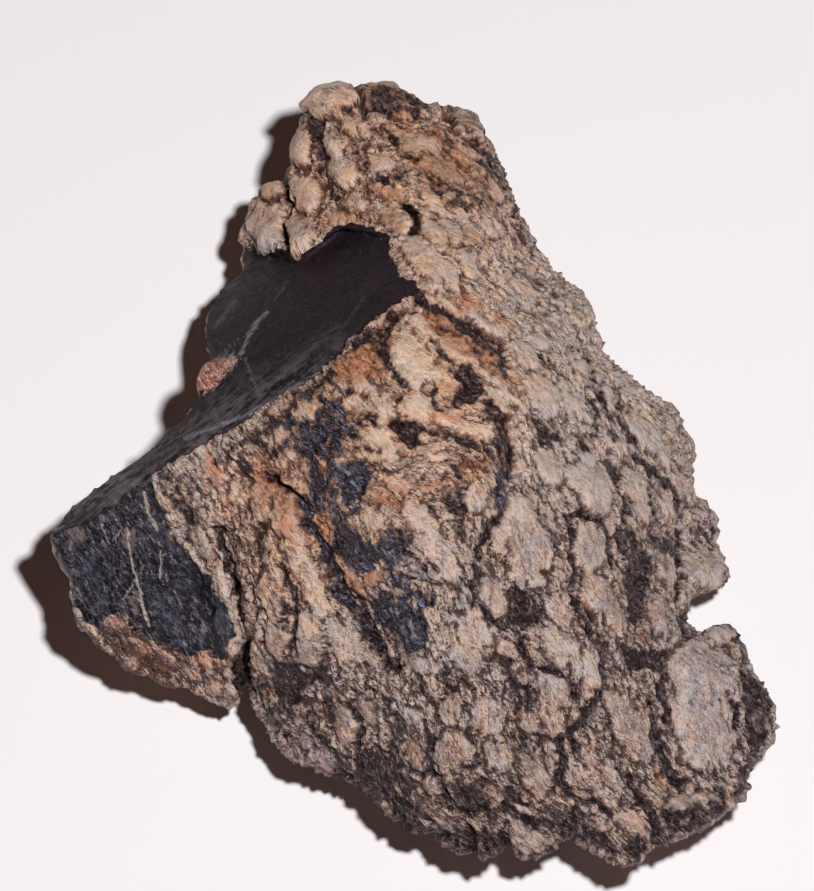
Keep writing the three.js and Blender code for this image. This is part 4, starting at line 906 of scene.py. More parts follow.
# the ledge where the wing meets the left flank
WING_LEDGE = [
    (-32, -5), (-31.2, -8), (-30, -10.4), (-29.2, -12), (-28, -13.6), (-26.8, -14.6), (-26.2, -16),
    (-26, -19.4), (-24.4, -20.6),
]
# painted shade along the wing's ledge and small steps
WING_STEP_SHADES = [
    # half width, strength, path
    (0.35, 1, WING_LEDGE),
    (0.2, 0.7, [(-38.6, -13.4), (-37.6, -16), (-36, -18.2)]),
    (0.2, 0.6, [(-31, -17.2), (-30, -20), (-30.4, -22.8)]),
    (0.2, 0.6, [(-28.2, -20.2), (-27, -22.6), (-26.4, -25)]),
]
# patches of painted blue sheen on the wing
WING_SHEEN = [
    # strength, across, up, half length, half width, degrees
    (0.9, -28.6, -12.8, 3.2, 0.8, -42), (0.8, -23.2, -21.8, 1.8, 0.8, -60), (0.7, -37.6, -8.9, 1.2, 0.5, 30),
    (0.5, -30.6, -20, 3.4, 1.6, -60), (0.4, -39, -16, 3, 1.4, -70), (0.4, -27.4, -18, 1.6, 1, -60),
]

wing = areas([(1, WING_OUTLINE)], soft=0.5)
wing *= ease(-0.25, 0.0, facing + 0.2 * rough(body / 2.5, 35))
wing_scuff = areas(WING_SCUFFS, soft=0.8) * wing
wing_step_shade = lines(WING_STEP_SHADES, soft=0.3) * wing
wing_sheen = stains(WING_SHEEN, outer=1.5, inner=0.2)


# ---- The black break ----
# Below the peak a clean, flat plane broke black. Fine ridges run along it, a painted sheen greys it
# toward its left tip, pale veins cross it, and a round nodule of rust stands on its lower edge.

RIDGE_TURN = math.radians(38)
BREAK_VEINS = [
    # half width, paleness, path
    (0.1, 1, [(-20.7, 11.2), (-19.9, 13.4), (-18.6, 15.6), (-17.5, 16.8)]),
    (0.2, 0.6, [(-19.8, 13.8), (-18.8, 15.4)]), (0.05, 0.25, [(-16.6, 18.2), (-14.8, 20.6)]),
    (0.05, 0.4, [(-20.2, 10.8), (-18.8, 7.2)]), (0.2, 0.3, [(-24.2, 14.6), (-21.4, 18.2)]),
    (0.25, 0.2, [(-22.6, 19.6), (-19.6, 23.4)]), (0.04, 0.12, [(-8.4, 14), (-5.2, 18.6)]),
    (0.12, 0.7, [(-27.8, 0.9), (-20, 3.8), (-15.4, 6)]), (0.1, 0.6, [(-14.6, 6.8), (-10.8, 8.9)]),
]
# where a painted sheen makes the break greyer
BREAK_SHEEN = [
    # strength, outline
    (0.55, [(-32, -5), (-14, 6), (-8, 12.6), (-9.4, 13.6), (-18, 9), (-26, 6), (-40, -2), (-46, -6),
        (-46, -10)]),
    (0.2, [(-27, 14), (-20, 15.6), (-16.6, 20.6), (-18, 25), (-27, 25)]),
    (1, [(-50, -10), (-41, -10), (-33, -4.8), (-34, 0), (-46, -2)]),
]
# the nodule: its place on the face, its radius and how far it stands out, in millimetres
NODULE_PLACE = (-23.5, 8.3)
NODULE_RADIUS = 3.0
NODULE_RISE = 1.7

slab = areas([(1, BREAK_OUTLINE)], soft=0.3)
slab *= ease(-0.35, -0.15, facing + 0.25 * rough(body / 2.5, 35))
ridge_along = across * math.cos(RIDGE_TURN) + up * math.sin(RIDGE_TURN)
ridge_beside = up * math.cos(RIDGE_TURN) - across * math.sin(RIDGE_TURN)
rays = rough(np.stack((ridge_along / 11, ridge_beside / 0.9, ridge_beside * 0), 1), 61)
rays += 0.7 * rough(np.stack((ridge_along / 3, ridge_beside / 1.6, ridge_beside * 0), 1), 62)
break_sheen = areas(BREAK_SHEEN, soft=2.2) * slab

# the nodule's middle is the vertex nearest its place, on the side that faces out
from_nodule = np.hypot(across - NODULE_PLACE[0], up - NODULE_PLACE[1])
nodule_middle = np.argmin(np.where(facing < 0.2, np.inf, from_nodule))
nodule_reach = np.linalg.norm(body - body[nodule_middle], axis=1) / NODULE_RADIUS
nodule_reach *= 1 + 0.12 * rough(body / 1.6, 39)
nodule_rust = ease(1.12, 0.92, nodule_reach)
nodule_collar = ease(0.92, 1.0, nodule_reach) * ease(1.8, 1.3, nodule_reach) * slab
nodule_collar *= ease(-1.5, 0.5, 0.7 * (across - NODULE_PLACE[0]) + (up - NODULE_PLACE[1]))


# ---- Carving the stone ----
# Weather and the break shaped one skin of stone, so everything on it is raised from it or cut into
# it together: lumps, crumbs, seams, pits and cracks. The break and the wing stay nearly smooth.

CUTS = [
    # half width, depth in millimetres, path
    (0.25, 1.2, [(-6.3, 46.5), (-6.2, 44.4), (-5.8, 42.6), (-5.3, 41)]),
    (0.8, 1.3, [(4.3, 45), (4.6, 43), (5.2, 41.4)]),
    (0.5, 1.2, [(-15.4, 33.8), (-15, 30.4), (-15.2, 27.4), (-14.8, 24.8)]),
    (0.2, 1, [(5, 18.7), (5.2, 18.4)]),
    (0.5, 1.3, [(-17.4, -3.8), (-15.6, -5), (-14.2, -5.8), (-13.2, -7.6)]),
    (1.3, 1, [(-13, -7.6), (-12.6, -9.6), (-11.4, -11.4), (-10.2, -13.2), (-9.4, -15.6), (-8.6, -17.6),
        (-7.4, -19.2)]),
    (1.1, 0.8, [(-7.4, -19.2), (-6.2, -20.4), (-5.2, -22), (-4.2, -24), (-3.4, -25.4)]),
    (0.6, 0.7, [(-3.4, -25.4), (-2.2, -26.8), (-1, -27.8)]),
    (0.3, 0.8, [(1.6, 18.6), (3, 17.4), (6, 16), (8, 15), (9.6, 13.6), (11.8, 12.4), (12.4, 10), (12.4, 8.6),
        (13.6, 6.6), (15, 5)]),
    (0.4, 0.9, [(12.4, 3.4), (12.8, 0), (12.6, -4), (12.8, -6), (11.4, -8.6), (9.8, -11), (8.8, -13.6)]),
    (0.35, 0.6, [(28.6, -1.6), (30, -2.6), (31.4, -3.6), (32, -4.4), (33, -5.4), (33.8, -6.6)]),
    (0.3, 0.8, [(33.8, -9), (33.9, -14), (33.6, -18), (33.6, -20), (34.4, -22), (34.4, -24.6), (32.4, -26),
        (31.8, -28), (31.6, -30), (32, -32), (32.4, -34.6), (33.4, -37), (33.8, -39.6)]),
    (0.5, 0.6, [(24.2, -26), (24.2, -28), (24, -30), (23.4, -32.4), (22, -33.4), (21, -34.6), (20, -36),
        (21, -37.6)]),
    (0.5, 0.7, [(-9.2, 10.8), (-6.4, 12.8), (-3.4, 14.8), (0, 16.8), (1.6, 18.6)]),
    (0.35, 0.6, WING_LEDGE),
    (0.35, 0.9, [(-19.4, -17.6), (-19.2, -21.8), (-19.6, -24), (-20, -28)]),
    (0.25, 0.6, [(-17.8, -21.6), (-17.9, -24.4)]),
    (0.3, 0.5, [(-27.6, -16.8), (-27, -16.8)]),
    (0.4, 0.5, [(-34, -23.4), (-32, -24), (-31, -24.6), (-29.4, -25.2)]),
]
# the deepest notches of the bottom edge
FISSURES = [
    # half width, depth in millimetres, path
    (0.7, 1.4, [(7.6, -47.6), (8.4, -53)]), (0.3, 0.9, [(3.2, -48.4), (3.4, -52)]),
    (0.3, 0.9, [(12.4, -48.6), (12.6, -52.5)]), (0.3, 0.8, [(-0.6, -46.4), (-1, -50)]),
]
# a crescent pit above the break
PIT = [(-0.1, 29.5), (0.6, 29.1), (1.2, 28.2), (1.2, 27.1), (0.7, 26.3)]
PIT_DEPTH = 2.6
SUNK = [
    # depth in millimetres, outline
    (1.5, [(-2.4, 2.4), (-1.2, 3.2), (-0.4, 2.8), (1.8, 2.4), (2.4, 1.8), (1.4, 0.8), (2, 0), (0.2, -0.2),
        (-0.6, 0.6), (-1.6, 1.6)]),
    (0.8, CLEFT_OUTLINE),
    (0.7, [(5.4, 9.2), (8.6, 9), (9.4, 8), (9.2, 6.6), (8.8, 5.8), (7, 4.8), (5.8, 4.8), (6, 6.4),
        (6.6, 7.6)]),
    (0.5, [(12.4, -17), (14.6, -18), (16.4, -20.6), (16.2, -22), (14, -23.6), (11.2, -22.6)]),
    (0.5, [(26.6, -25), (30, -25.2), (31.6, -26.2), (31.4, -28.4), (29, -27.8), (26.6, -26.8)]),
    (0.6, [(26.2, -10.2), (28, -10.8), (30.4, -14.4), (29.6, -18), (29.4, -21.4), (28, -21.6), (27, -17.6),
        (27, -14)]),
    (0.5, [(-16.6, -27), (-14, -27), (-10.4, -27.4), (-10, -29.2), (-12.4, -30), (-14.4, -32.4),
        (-15.8, -31)]),
    (0.4, [(-9, -2.4), (-6, -2.2), (-4.6, -3.8), (-5.6, -6.6), (-7.4, -6.6), (-8.8, -5)]),
]
# how far each kind of roughness stands up or goes in, in millimetres
MOTTLE_HEIGHT = 0.35
BROAD_LUMP_HEIGHT = 0.75
BIG_CRUMB_HEIGHT = 0.38
SMALL_CRUMB_HEIGHT = 0.07
STREAK_HEIGHT = 0.14
RIDGE_HEIGHT = 0.12
SEAM_DEPTH = 0.35
BREAK_RAY_HEIGHT = 0.09
JAGGED_HEIGHT = 0.9

# the break and the wing are calm: they carry no crumbs
calm = np.clip(slab + wing * 0.85, 0, 1)
back = 1 - front
rise = MOTTLE_HEIGHT * mottle * (1 - slab)
broad_lump = BROAD_LUMP_HEIGHT * broad_dome * (0.8 + 0.5 * broad_chance[:, 0])
rise += back * (broad_lump + 0.5 * broad_tilt + 0.5 * mottle)
crumb_height = BIG_CRUMB_HEIGHT * big_dome * (0.8 + 0.5 * big_chance[:, 0]) + 0.55 * big_tilt
crumb_height += SMALL_CRUMB_HEIGHT * small_dome * (0.8 + 0.5 * small_chance[:, 0]) + 0.2 * small_tilt
steep = np.maximum(ease(0.75, 0.3, facing), 0.85 * left_lumps) * (1 - slab)
crumb_height += (STREAK_HEIGHT * streak + RIDGE_HEIGHT * ridges) * (1 - 0.8 * steep)
crumb_height *= 1 - 0.8 * left_lumps
rise += crumb_height * (1 - calm) * (1 - 0.72 * knob_cover)
rise += knob_rise * front - SEAM_DEPTH * knob_seam * (1 - calm)

cut = np.zeros(len(across))
sunk = np.zeros(len(across))
seam_cuts = [(half_width, depth, path) for _, _, half_width, depth, path in SEAMS]
for half_width, depth, path in CUTS + seam_cuts + FISSURES:
    near = within_reach(path, half_width + 0.6)
    gap = path_gap(wander_across[near], wander_up[near], path)
    cut[near] = np.maximum(cut[near], depth * ease(half_width + 0.35, 0.1, gap))
for depth, outline in SUNK:
    near = within_reach(outline, 0.5)
    inside = inside_by(wander_across[near], wander_up[near], outline)
    sunk[near] = np.maximum(sunk[near], depth * ease(-0.3, 0.7, inside))
pit = ease(0.65, 0.3, path_gap(across, up, PIT))
rise -= np.maximum(cut, sunk) * front
rise += slab * BREAK_RAY_HEIGHT * rays
rise += wing * (1 - slab) * (0.16 * np.abs(rough(body / 2.0, 36)) + 0.14 * rough(body / 0.9, 37))

# the rim is jagged, most of all along the bottom and down the right side
jagged = ease(0.5, 0.2, np.abs(facing)) * (1 - slab) * (1 - wing)
right_side = ease(6, 12, across) * ease(38, 34, up)
jagged *= 0.3 + 0.5 * ease(-20, -40, up) + 0.3 * right_side * ease(-22, -14, up)
jagged *= 0.3 + 0.7 * np.maximum(ease(24, 18, up), right_side)
jags = JAGGED_HEIGHT - 2.6 * np.abs(rough(body / 1.9, 83)) - 1.2 * np.abs(rough(body / 0.9, 84))
rise += jagged * jags

# the foot stays flat on the floor
foot_rise = ease(0.0, 2.0, body[:, 2])
shaped = places + normal * (rise * foot_rise * MM)[:, None]
shaped -= OUT_FACE * (PIT_DEPTH * pit * front * MM)[:, None]
nodule_dome = np.sqrt(np.clip(1 - nodule_reach ** 2, 0, 1)) * (1 + 0.1 * rough(body / 0.9, 38))
shaped += normal[nodule_middle] * (NODULE_RISE * nodule_dome * MM)[:, None]
shaped[:, 2] = np.maximum(shaped[:, 2], 0)
stone.data.vertices.foreach_set("co", shaped.ravel())
stone.data.update()


# ---- The colours laid over the stone ----
# Soot, rust and wear lie over the stone in layers as thin as a film, each where heat, water or
# rubbing put it. Painted shade lies with them in hollows, creases and cuts and on lower-left sides,
# and some fields are darker and a few paler. Each kind is kept on the vertices, as one number or
# three, for the paint to read.

# how many times places and normals are evened out, to tell small hollows and slopes from broad ones
LITTLE_EVENING = 3
BROAD_EVENING = 22
WALL_EVENING = 6
LEE_EVENING = 30


def keep(name, values):
    """Stores one number for each vertex under this name."""
    layer = stone.data.attributes.new(name, "FLOAT", "POINT")
    layer.data.foreach_set("value", np.asarray(values, float))


def keep_way(name, values):
    """Stores three numbers for each vertex under this name."""
    layer = stone.data.attributes.new(name, "FLOAT_VECTOR", "POINT")
    layer.data.foreach_set("vector", np.asarray(values, float).ravel())


def soft_field(middle, reach, power=2):
    """1 in the middle of a soft field on the face, fading to 0 round it."""
    from_side = ((across - middle[0]) / reach[0]) ** power
    from_below = ((up - middle[1]) / reach[1]) ** power
    return np.exp(-from_side - from_below)


# how far each place lies below the skin around it, in millimetres: narrow and broad hollows
carved = vertex_places()
carved_normal = vertex_normals()
little = evened(carved, LITTLE_EVENING)
broad = evened(little, BROAD_EVENING)
narrow_hollow = ((little - carved) * carved_normal).sum(1) / MM
broad_hollow = ((broad - carved) * carved_normal).sum(1) / MM
sunken = np.clip(narrow_hollow * 2.2 + broad_hollow * 1.3, -0.5, 0.5)

# the side walls of lumps and seams
wall_normal = evened(carved_normal, WALL_EVENING)
wall_normal /= np.maximum(np.linalg.norm(wall_normal, axis=1, keepdims=True), 1e-9)
walls = ease(0.12, 0.4, 1 - (wall_normal * normal).sum(1))

# painted shade: how much each place leans down and to the left of the skin around it, away from the lamp;
# those sides are painted darker
even_normal = evened(carved_normal, LEE_EVENING)
lee_shade = (even_normal - carved_normal) @ (0.5 * CROSS + 0.85 * UP_FACE)

# loose char lies in patches; char and rust lie behind, the back is darker, most near the floor, and painted
# shade darkens the horn's left-facing sides
loose_char = rough(grain / (3.4, 1.3, 2.4), 51) + 0.5 * rough(grain / (1.5, 0.6, 1.0), 52)
loose_char = ease(0.1, 0.75, loose_char + 0.45 * tone_and_shade)
back_char = ease(0.0, 0.7, rough(body / 5.0, 53) + 0.5 * rough(body / 1.8, 54)) * back
back_rust = ease(0.25, 0.8, rough(body / 4.2, 81) + 0.5 * rough(body / 1.5, 82)) * back
tone_and_shade += back * (0.1 + 0.3 * ease(16, 3, body[:, 2]))
tone_and_shade += 0.45 * front * ease(0.35, 0.9, -(even_normal @ CROSS)) * ease(18, 24, up)

# painted shade in the creases between crumbs and in the knobs' seams, strongest on their lower-left sides
crease_shade = np.maximum((1 - ease(0.0, 0.2, big_edge)) * 0.95, (1 - ease(0.0, 0.3, small_edge)) * 0.4)
crease_shade = np.maximum(crease_shade, (1 - ease(0.0, 0.13, broad_edge)) * back)
crease_shade *= ease(-0.7, 0.2, rough(body / 3.0, 55))
crease_shade = np.maximum(crease_shade * (1 - 0.6 * knob_cover), knob_seam) * np.clip(0.5 + lee_shade, 0.15, 1.1)
crease_shade = np.clip(crease_shade * (1 - calm), 0, 1)
# painted shade: near black in the deeper cuts and in the pit
deep_shade = np.maximum(ease(0.6, 2.4, cut), ease(0.15, 0.6, pit)) * front

# the bare rock: how pale it is, less pale in the darker fields and under painted shade, and where it is warm
# or cool
crumb_shade = 0.5 * big_chance[:, 2] + 0.35 * small_chance[:, 2]
paleness = 0.47 + 0.16 * crumb_shade + 0.22 * knob_pale * knob_cover - 0.1 * (1 - front) - 0.6 * tone_and_shade
warmth = soft_field((2, 6), (13, 15)) + 1.1 * soft_field((-4, 34), (18, 15))
warmth += 0.8 * soft_field((-14, -7), (11, 13))
warmth += 0.6 * soft_field((-28, -26), (9, 5))
warmth = np.clip(warmth, 0, 1)
cool = (1 - warmth) * (0.6 + soft_field((37, -30), (6, 11), power=4))
warmer = 0.8 * rough(body / 3.1, 73) + 0.9 * rough(body / 1.4, 74) + 0.35 * big_chance[:, 0]
bluer = 0.6 * rough(body / 2.4, 75) + 0.6 * rough(body / 1.2, 76)
tint_red = 1.05 - 0.04 * cool + 0.11 * warmer + 0.02 * bluer
tint_green = 0.975 - 0.01 * warmer - 0.02 * bluer
tint_blue = 0.94 + 0.06 * cool - 0.11 * warmer + 0.08 * bluer

# char also lies in hollows and on lower-left sides here, as painted shade
all_char = char * front + 0.45 * loose_char * (1 - 0.7 * knob_cover) + 0.7 * back_char
all_char += 0.5 * sunken + 0.15 * lee_shade
keep("char", np.where(calm > 0.5, 0, np.clip(all_char, -0.5, 1.5)))
keep("blue_char", blue_char)
keep("scorch", (scorch * front + 0.5 * back_char) * (1 - calm))
keep("rust", np.maximum(rust * front, 0.6 * back_rust) * (1 - wing))
keep("crease_shade", crease_shade)
keep("deep_shade", deep_shade)
# painted shade: darker where the skin lies in a hollow
keep("hollow_shade", 0.5 + sunken * (1 - calm))
keep("lee_shade", lee_shade)
keep("steep", np.maximum(steep, walls))
keep("plate", np.maximum(knob_cover, 0.8 * left_lumps))
keep("pale", np.clip(paleness, -0.65, 1))
keep("warmth", warmth)
keep("patch", 0.5 + 0.5 * rough(body / 1.9, 71) + 0.3 * rough(body / 0.9, 72))
keep("slab", slab)
keep("slab_sheen", break_sheen)
keep("slab_rust", nodule_rust)
keep("collar", nodule_collar)
keep("rays", 0.5 + 0.5 * rays)
keep("wing", wing)
keep("wing_sheen", wing_sheen)
keep("scuff", wing_scuff)
keep("step", wing_step_shade)
keep_way("tint", np.stack((tint_red, tint_green, tint_blue), 1))
keep_way("ridge", np.stack((ridge_along, ridge_beside, out), 1))
keep_way("grain", grain)


# ---- The stone's paint ----
# Pale tan and pink-grey rock with painted shade in its seams, creases and hollows, and ragged char
# and rust over it. The break is black with a dull shine and a painted sheen near its tip, and the
# wing is blue-black and slightly glassy, with painted highlights and sheen.

paint = bpy.data.materials.new("weathered_crust")
paint.use_nodes = True
recipe = paint.node_tree
shine = recipe.nodes["Principled BSDF"]


def feed(socket, value):
    """Joins a socket to another, or sets it."""
    if isinstance(value, bpy.types.NodeSocket):
        recipe.links.new(value, socket)
    else:
        socket.default_value = value


def sum_of(kind, first, second=0.0, third=0.0):
    """A math node."""
    node = recipe.nodes.new("ShaderNodeMath")
    node.operation = kind
    for socket, value in zip(node.inputs, (first, second, third)):
        feed(socket, value)
    return node.outputs[0]


def plus(first, second):
    """Two numbers added."""
    return sum_of("ADD", first, second)


def times(first, second):
    """One number multiplied by another."""
    return sum_of("MULTIPLY", first, second)


def graded(value, slope, start):
    """A number multiplied by a slope and added to a start."""
    return sum_of("MULTIPLY_ADD", value, slope, start)


def swung(mottling, width):
    """Mottling turned into a random number, up to half this width above or below 0."""
    return graded(mottling, width, -width / 2)


def between(low, high, value):
    """0 below low, 1 above high, smooth between."""
    node = recipe.nodes.new("ShaderNodeMapRange")
    node.interpolation_type = "SMOOTHSTEP"
    feed(node.inputs["Value"], value)
    feed(node.inputs["From Min"], low)
    feed(node.inputs["From Max"], high)
    return node.outputs["Result"]


def mixed(amount, under, over):
    """One colour laid over another."""
    node = recipe.nodes.new("ShaderNodeMix")
    node.data_type = "RGBA"
    feed(node.inputs[0], amount)
    feed(node.inputs[6], under if isinstance(under, bpy.types.NodeSocket) else (*under, 1))
    feed(node.inputs[7], over if isinstance(over, bpy.types.NodeSocket) else (*over, 1))
    return node.outputs[2]


def blended(amount, first, second):
    """One number turning into another."""
    node = recipe.nodes.new("ShaderNodeMix")
    feed(node.inputs[0], amount)
    feed(node.inputs[2], first)
    feed(node.inputs[3], second)
    return node.outputs[0]


def vector_of(kind, first, second):
    """A vector math node."""
    node = recipe.nodes.new("ShaderNodeVectorMath")
    node.operation = kind
    feed(node.inputs[0], first)
    feed(node.inputs["Scale" if kind == "SCALE" else 1], second)
    return node.outputs["Value" if kind == "DOT_PRODUCT" else "Vector"]


def joined(first, second, third):
    """Three numbers as one vector."""
    node = recipe.nodes.new("ShaderNodeCombineXYZ")
    for socket, value in zip(node.inputs, (first, second, third)):
        feed(socket, value)
    return node.outputs[0]


def stained(name, output="Fac"):
    """What the stone's vertices store under this name: one number, or its "Vector" of three."""
    node = recipe.nodes.new("ShaderNodeAttribute")
    node.attribute_name = name
    return node.outputs[output]


def covered(name, low, high, mottling, width):
    """How fully a stain covers each place, its edge torn by mottling swung this wide."""
    return between(low, high, plus(stained(name), swung(mottling, width)))


def specks(place, detail):
    """Fine random mottling, about 0.3 to 0.7."""
    node = recipe.nodes.new("ShaderNodeTexNoise")
    node.inputs["Scale"].default_value = 1.0
    node.inputs["Detail"].default_value = detail
    node.inputs["Roughness"].default_value = 0.6
    feed(node.inputs["Vector"], place)
    return node.outputs["Fac"]


body_place = recipe.nodes.new("ShaderNodeTexCoord").outputs["Object"]
grain_place = stained("grain", "Vector")
ridge_place = stained("ridge", "Vector")


def even_specks(size, detail):
    """Mottling as large as this many millimetres each way."""
    return specks(vector_of("DIVIDE", body_place, (size * MM,) * 3), detail)


# sizes in millimetres: along the grain or the break's ridges, across them, and out of the face
FIBRE_SIZE = (1.4, 0.45, 1.4)
GRIT_SIZE = (0.85, 0.5, 0.85)
POCK_SIZE = (0.36, 0.24, 0.36)
PLATE_SIZE = (1.7, 0.7, 1.7)
CHIP_SIZE = (0.7, 0.36, 0.7)
HAIR_SIZE = (2.4, 0.22, 1.0)
# sizes in millimetres, the same each way
STEEP_FIBRE_SIZE = 0.8
STEEP_GRIT_SIZE = 0.6
DUST_SIZE = 0.2
CLUMP_SIZE = 0.9
BLOTCH_SIZE = 1.1

# the grain shows on the open face, and fades into even grit where the stone turns away
steepness = stained("steep")
open_face = graded(steepness, -0.6, 1.0)
grain_fibre = specks(vector_of("DIVIDE", grain_place, FIBRE_SIZE), detail=3.0)
fibre = blended(steepness, grain_fibre, even_specks(STEEP_FIBRE_SIZE, detail=2.0))
grit_place = vector_of("DIVIDE", grain_place, GRIT_SIZE)
grit = blended(steepness, specks(grit_place, detail=3.0), even_specks(STEEP_GRIT_SIZE, detail=2.0))
ragged = plus(times(fibre, 0.5), times(grit, 0.5))
dust = even_specks(DUST_SIZE, detail=1.0)
clumps = even_specks(CLUMP_SIZE, detail=3.0)
blotches = even_specks(BLOTCH_SIZE, detail=3.0)
patch = stained("patch")


def emboss_shade(place, step, detail):
    """Mottling less the same mottling a small step away: painted shade, dark on one side of each dent."""
    return sum_of("SUBTRACT", specks(place, detail), specks(vector_of("ADD", place, step), detail))


# painted shade: small dents and single grains are darker on one side, as if lit from the upper right
dent_shade = times(emboss_shade(grit_place, (-0.08, 0.2, 0.0), detail=2.0), open_face)
pock_shade = emboss_shade(vector_of("DIVIDE", grain_place, POCK_SIZE), (-0.15, 0.4, 0.0), detail=1.0)
warp = joined(swung(fibre, 1.6), swung(grit, 1.6), dent_shade)


def chips(size):
    """Small flat chips of this size: each one's tilt and its own random tone."""
    place = vector_of("ADD", vector_of("DIVIDE", grain_place, size), warp)
    node = recipe.nodes.new("ShaderNodeTexVoronoi")
    node.inputs["Scale"].default_value = 1.0
    feed(node.inputs["Vector"], place)
    chance = vector_of("SUBTRACT", node.outputs["Color"], (0.5, 0.5, 0.5))
    tilt = vector_of("DOT_PRODUCT", chance, vector_of("SUBTRACT", place, node.outputs["Position"]))
    parts = recipe.nodes.new("ShaderNodeSeparateXYZ")
    feed(parts.inputs[0], chance)
    return tilt, parts.outputs[0]


plate_tilt, plate_tone = chips(PLATE_SIZE)
chip_tilt, chip_tone = chips(CHIP_SIZE)

# bare rock, from dark to pale; here and below, a colour is its red, green and blue
GREY_TONES = [
    # place in the row, colour
    (0.0, (0.020, 0.009, 0.011)), (0.08, (0.060, 0.034, 0.036)), (0.19, (0.125, 0.080, 0.073)),
    (0.36, (0.225, 0.152, 0.129)), (0.565, (0.325, 0.237, 0.201)), (0.85, (0.450, 0.357, 0.309)),
    (1.0, (0.520, 0.430, 0.380)),
]
WARM_TONES = [
    # place in the row, colour
    (0.0, (0.020, 0.008, 0.008)), (0.06, (0.064, 0.027, 0.025)), (0.15, (0.146, 0.070, 0.054)),
    (0.28, (0.266, 0.133, 0.093)), (0.49, (0.410, 0.232, 0.162)), (0.75, (0.548, 0.360, 0.270)),
    (1.0, (0.640, 0.490, 0.385)),
]


def tones(value, stops):
    """A colour picked from a row of them by a number."""
    node = recipe.nodes.new("ShaderNodeValToRGB")
    marks = node.color_ramp.elements
    for number, (place, colour) in enumerate(stops):
        mark = marks[number] if number < 2 else marks.new(place)
        mark.position = place
        mark.color = (*colour, 1)
    feed(node.inputs[0], value)
    return node.outputs[0]


# how light the rock is: its own paleness and broad patches, painted shade in hollows and on lower-left
# sides, and fine speckle with painted dent shade in it
light = graded(stained("pale"), 0.85, 0.598)
light = plus(light, swung(patch, 0.3))
light = plus(light, graded(stained("hollow_shade"), -0.7, 0.35))
light = plus(light, times(stained("lee_shade"), -0.35))
liveliness = graded(stained("plate"), -0.6, 1.28)
speckle = graded(fibre, 0.5, graded(dust, 1.2, -0.85))
speckle = plus(speckle, graded(dent_shade, 2.8, times(pock_shade, 2.0)))
speckle = plus(speckle, times(graded(plate_tone, 0.4, times(chip_tone, 0.85)), open_face))
light = graded(speckle, liveliness, light)
light = sum_of("MINIMUM", sum_of("MAXIMUM", light, 0.12), 1.3)
tone = times(light, 0.77)
warm_amount = covered("warmth", 0.1, 0.9, patch, 0.6)
rock = mixed(warm_amount, tones(tone, GREY_TONES), tones(tone, WARM_TONES))
rock = vector_of("MULTIPLY", rock, stained("tint", "Vector"))

# single plates and grains are a little yellower or more purple than the next, and the painted dent shade
# moves the hue too
hue = graded(plate_tone, 0.30, graded(chip_tone, 0.22, times(dent_shade, -1.2)))
rock = vector_of("MULTIPLY", rock, joined(graded(hue, 0.22, 1.0), 1.0, graded(hue, -0.4, 1.0)))

# brown scorch round the char, with painted brown shade in the hollows and painted shade in the creases
SCORCH_DARK = (0.20, 0.082, 0.043)
SCORCH_PALE = (0.31, 0.145, 0.080)
HOLLOW_SHADE_GREY = (0.085, 0.045, 0.038)
HOLLOW_SHADE_BROWN = (0.14, 0.055, 0.032)
CREASE_SHADE_BROWN = (0.080, 0.038, 0.030)
scorch_amount = covered("scorch", 0.1, 0.9, ragged, 2.2)
scorch_amount = times(scorch_amount, graded(warm_amount, 0.65, 0.2))
scorch_colour = vector_of("SCALE", mixed(patch, SCORCH_DARK, SCORCH_PALE), light)
rock = mixed(scorch_amount, rock, scorch_colour)
hollow_shade_amount = covered("hollow_shade", 0.5, 1.0, ragged, 0.7)
rock = mixed(times(hollow_shade_amount, 0.85), rock, mixed(warm_amount, HOLLOW_SHADE_GREY, HOLLOW_SHADE_BROWN))
crease_shade_amount = covered("crease_shade", 0.2, 0.95, ragged, 1.0)
rock = mixed(times(crease_shade_amount, 0.8), rock, CREASE_SHADE_BROWN)

# rust
RUST_DARK = (0.36, 0.125, 0.058)
RUST_PALE = (0.58, 0.27, 0.145)
rust_amount = between(0.25, 0.75, graded(stained("rust"), 1.2, swung(ragged, 2.4)))
rust_colour = vector_of("SCALE", mixed(patch, RUST_DARK, RUST_PALE), graded(light, 0.7, 0.2))
rock = mixed(times(rust_amount, 0.75), rock, rust_colour)

# char, in torn clumps with a brown fringe; the blue-black char has painted highlights and glints, and
# painted dent shade
BROWN_CHAR_DARK = (0.019, 0.010, 0.014)
BROWN_CHAR_PALE = (0.105, 0.072, 0.070)
BLUE_CHAR_DARK = (0.012, 0.008, 0.014)
BLUE_CHAR_PALE = (0.050, 0.050, 0.082)
BLUE_CHAR_HIGHLIGHT = (0.13, 0.135, 0.20)
BLUE_CHAR_GLINT = (0.19, 0.20, 0.29)
FRINGE_GREY = (0.080, 0.042, 0.036)
FRINGE_BROWN = (0.155, 0.058, 0.030)
DEEPEST_SHADE = (0.011, 0.005, 0.005)
torn = graded(fibre, 0.7, graded(grit, 0.8, times(clumps, 1.1)))
char_value = plus(stained("char"), sum_of("SUBTRACT", torn, 1.27))
char_fringe = between(0.15, 0.6, char_value)
char_amount = between(0.42, 0.80, char_value)
brown_char = mixed(between(0.48, 0.66, grit), BROWN_CHAR_DARK, BROWN_CHAR_PALE)
blue_black = mixed(between(0.46, 0.62, grit), BLUE_CHAR_DARK, BLUE_CHAR_PALE)
blue_black = mixed(times(between(0.54, 0.64, fibre), 0.8), blue_black, BLUE_CHAR_HIGHLIGHT)
char_colour = mixed(stained("blue_char"), brown_char, blue_black)
glint_flecks = times(between(0.60, 0.70, dust), stained("blue_char"))
char_colour = mixed(times(glint_flecks, 0.45), char_colour, BLUE_CHAR_GLINT)
char_light = graded(pock_shade, 6.0, graded(chip_tone, 1.2, 1.0))
char_colour = vector_of("SCALE", char_colour, sum_of("MAXIMUM", char_light, 0.25))
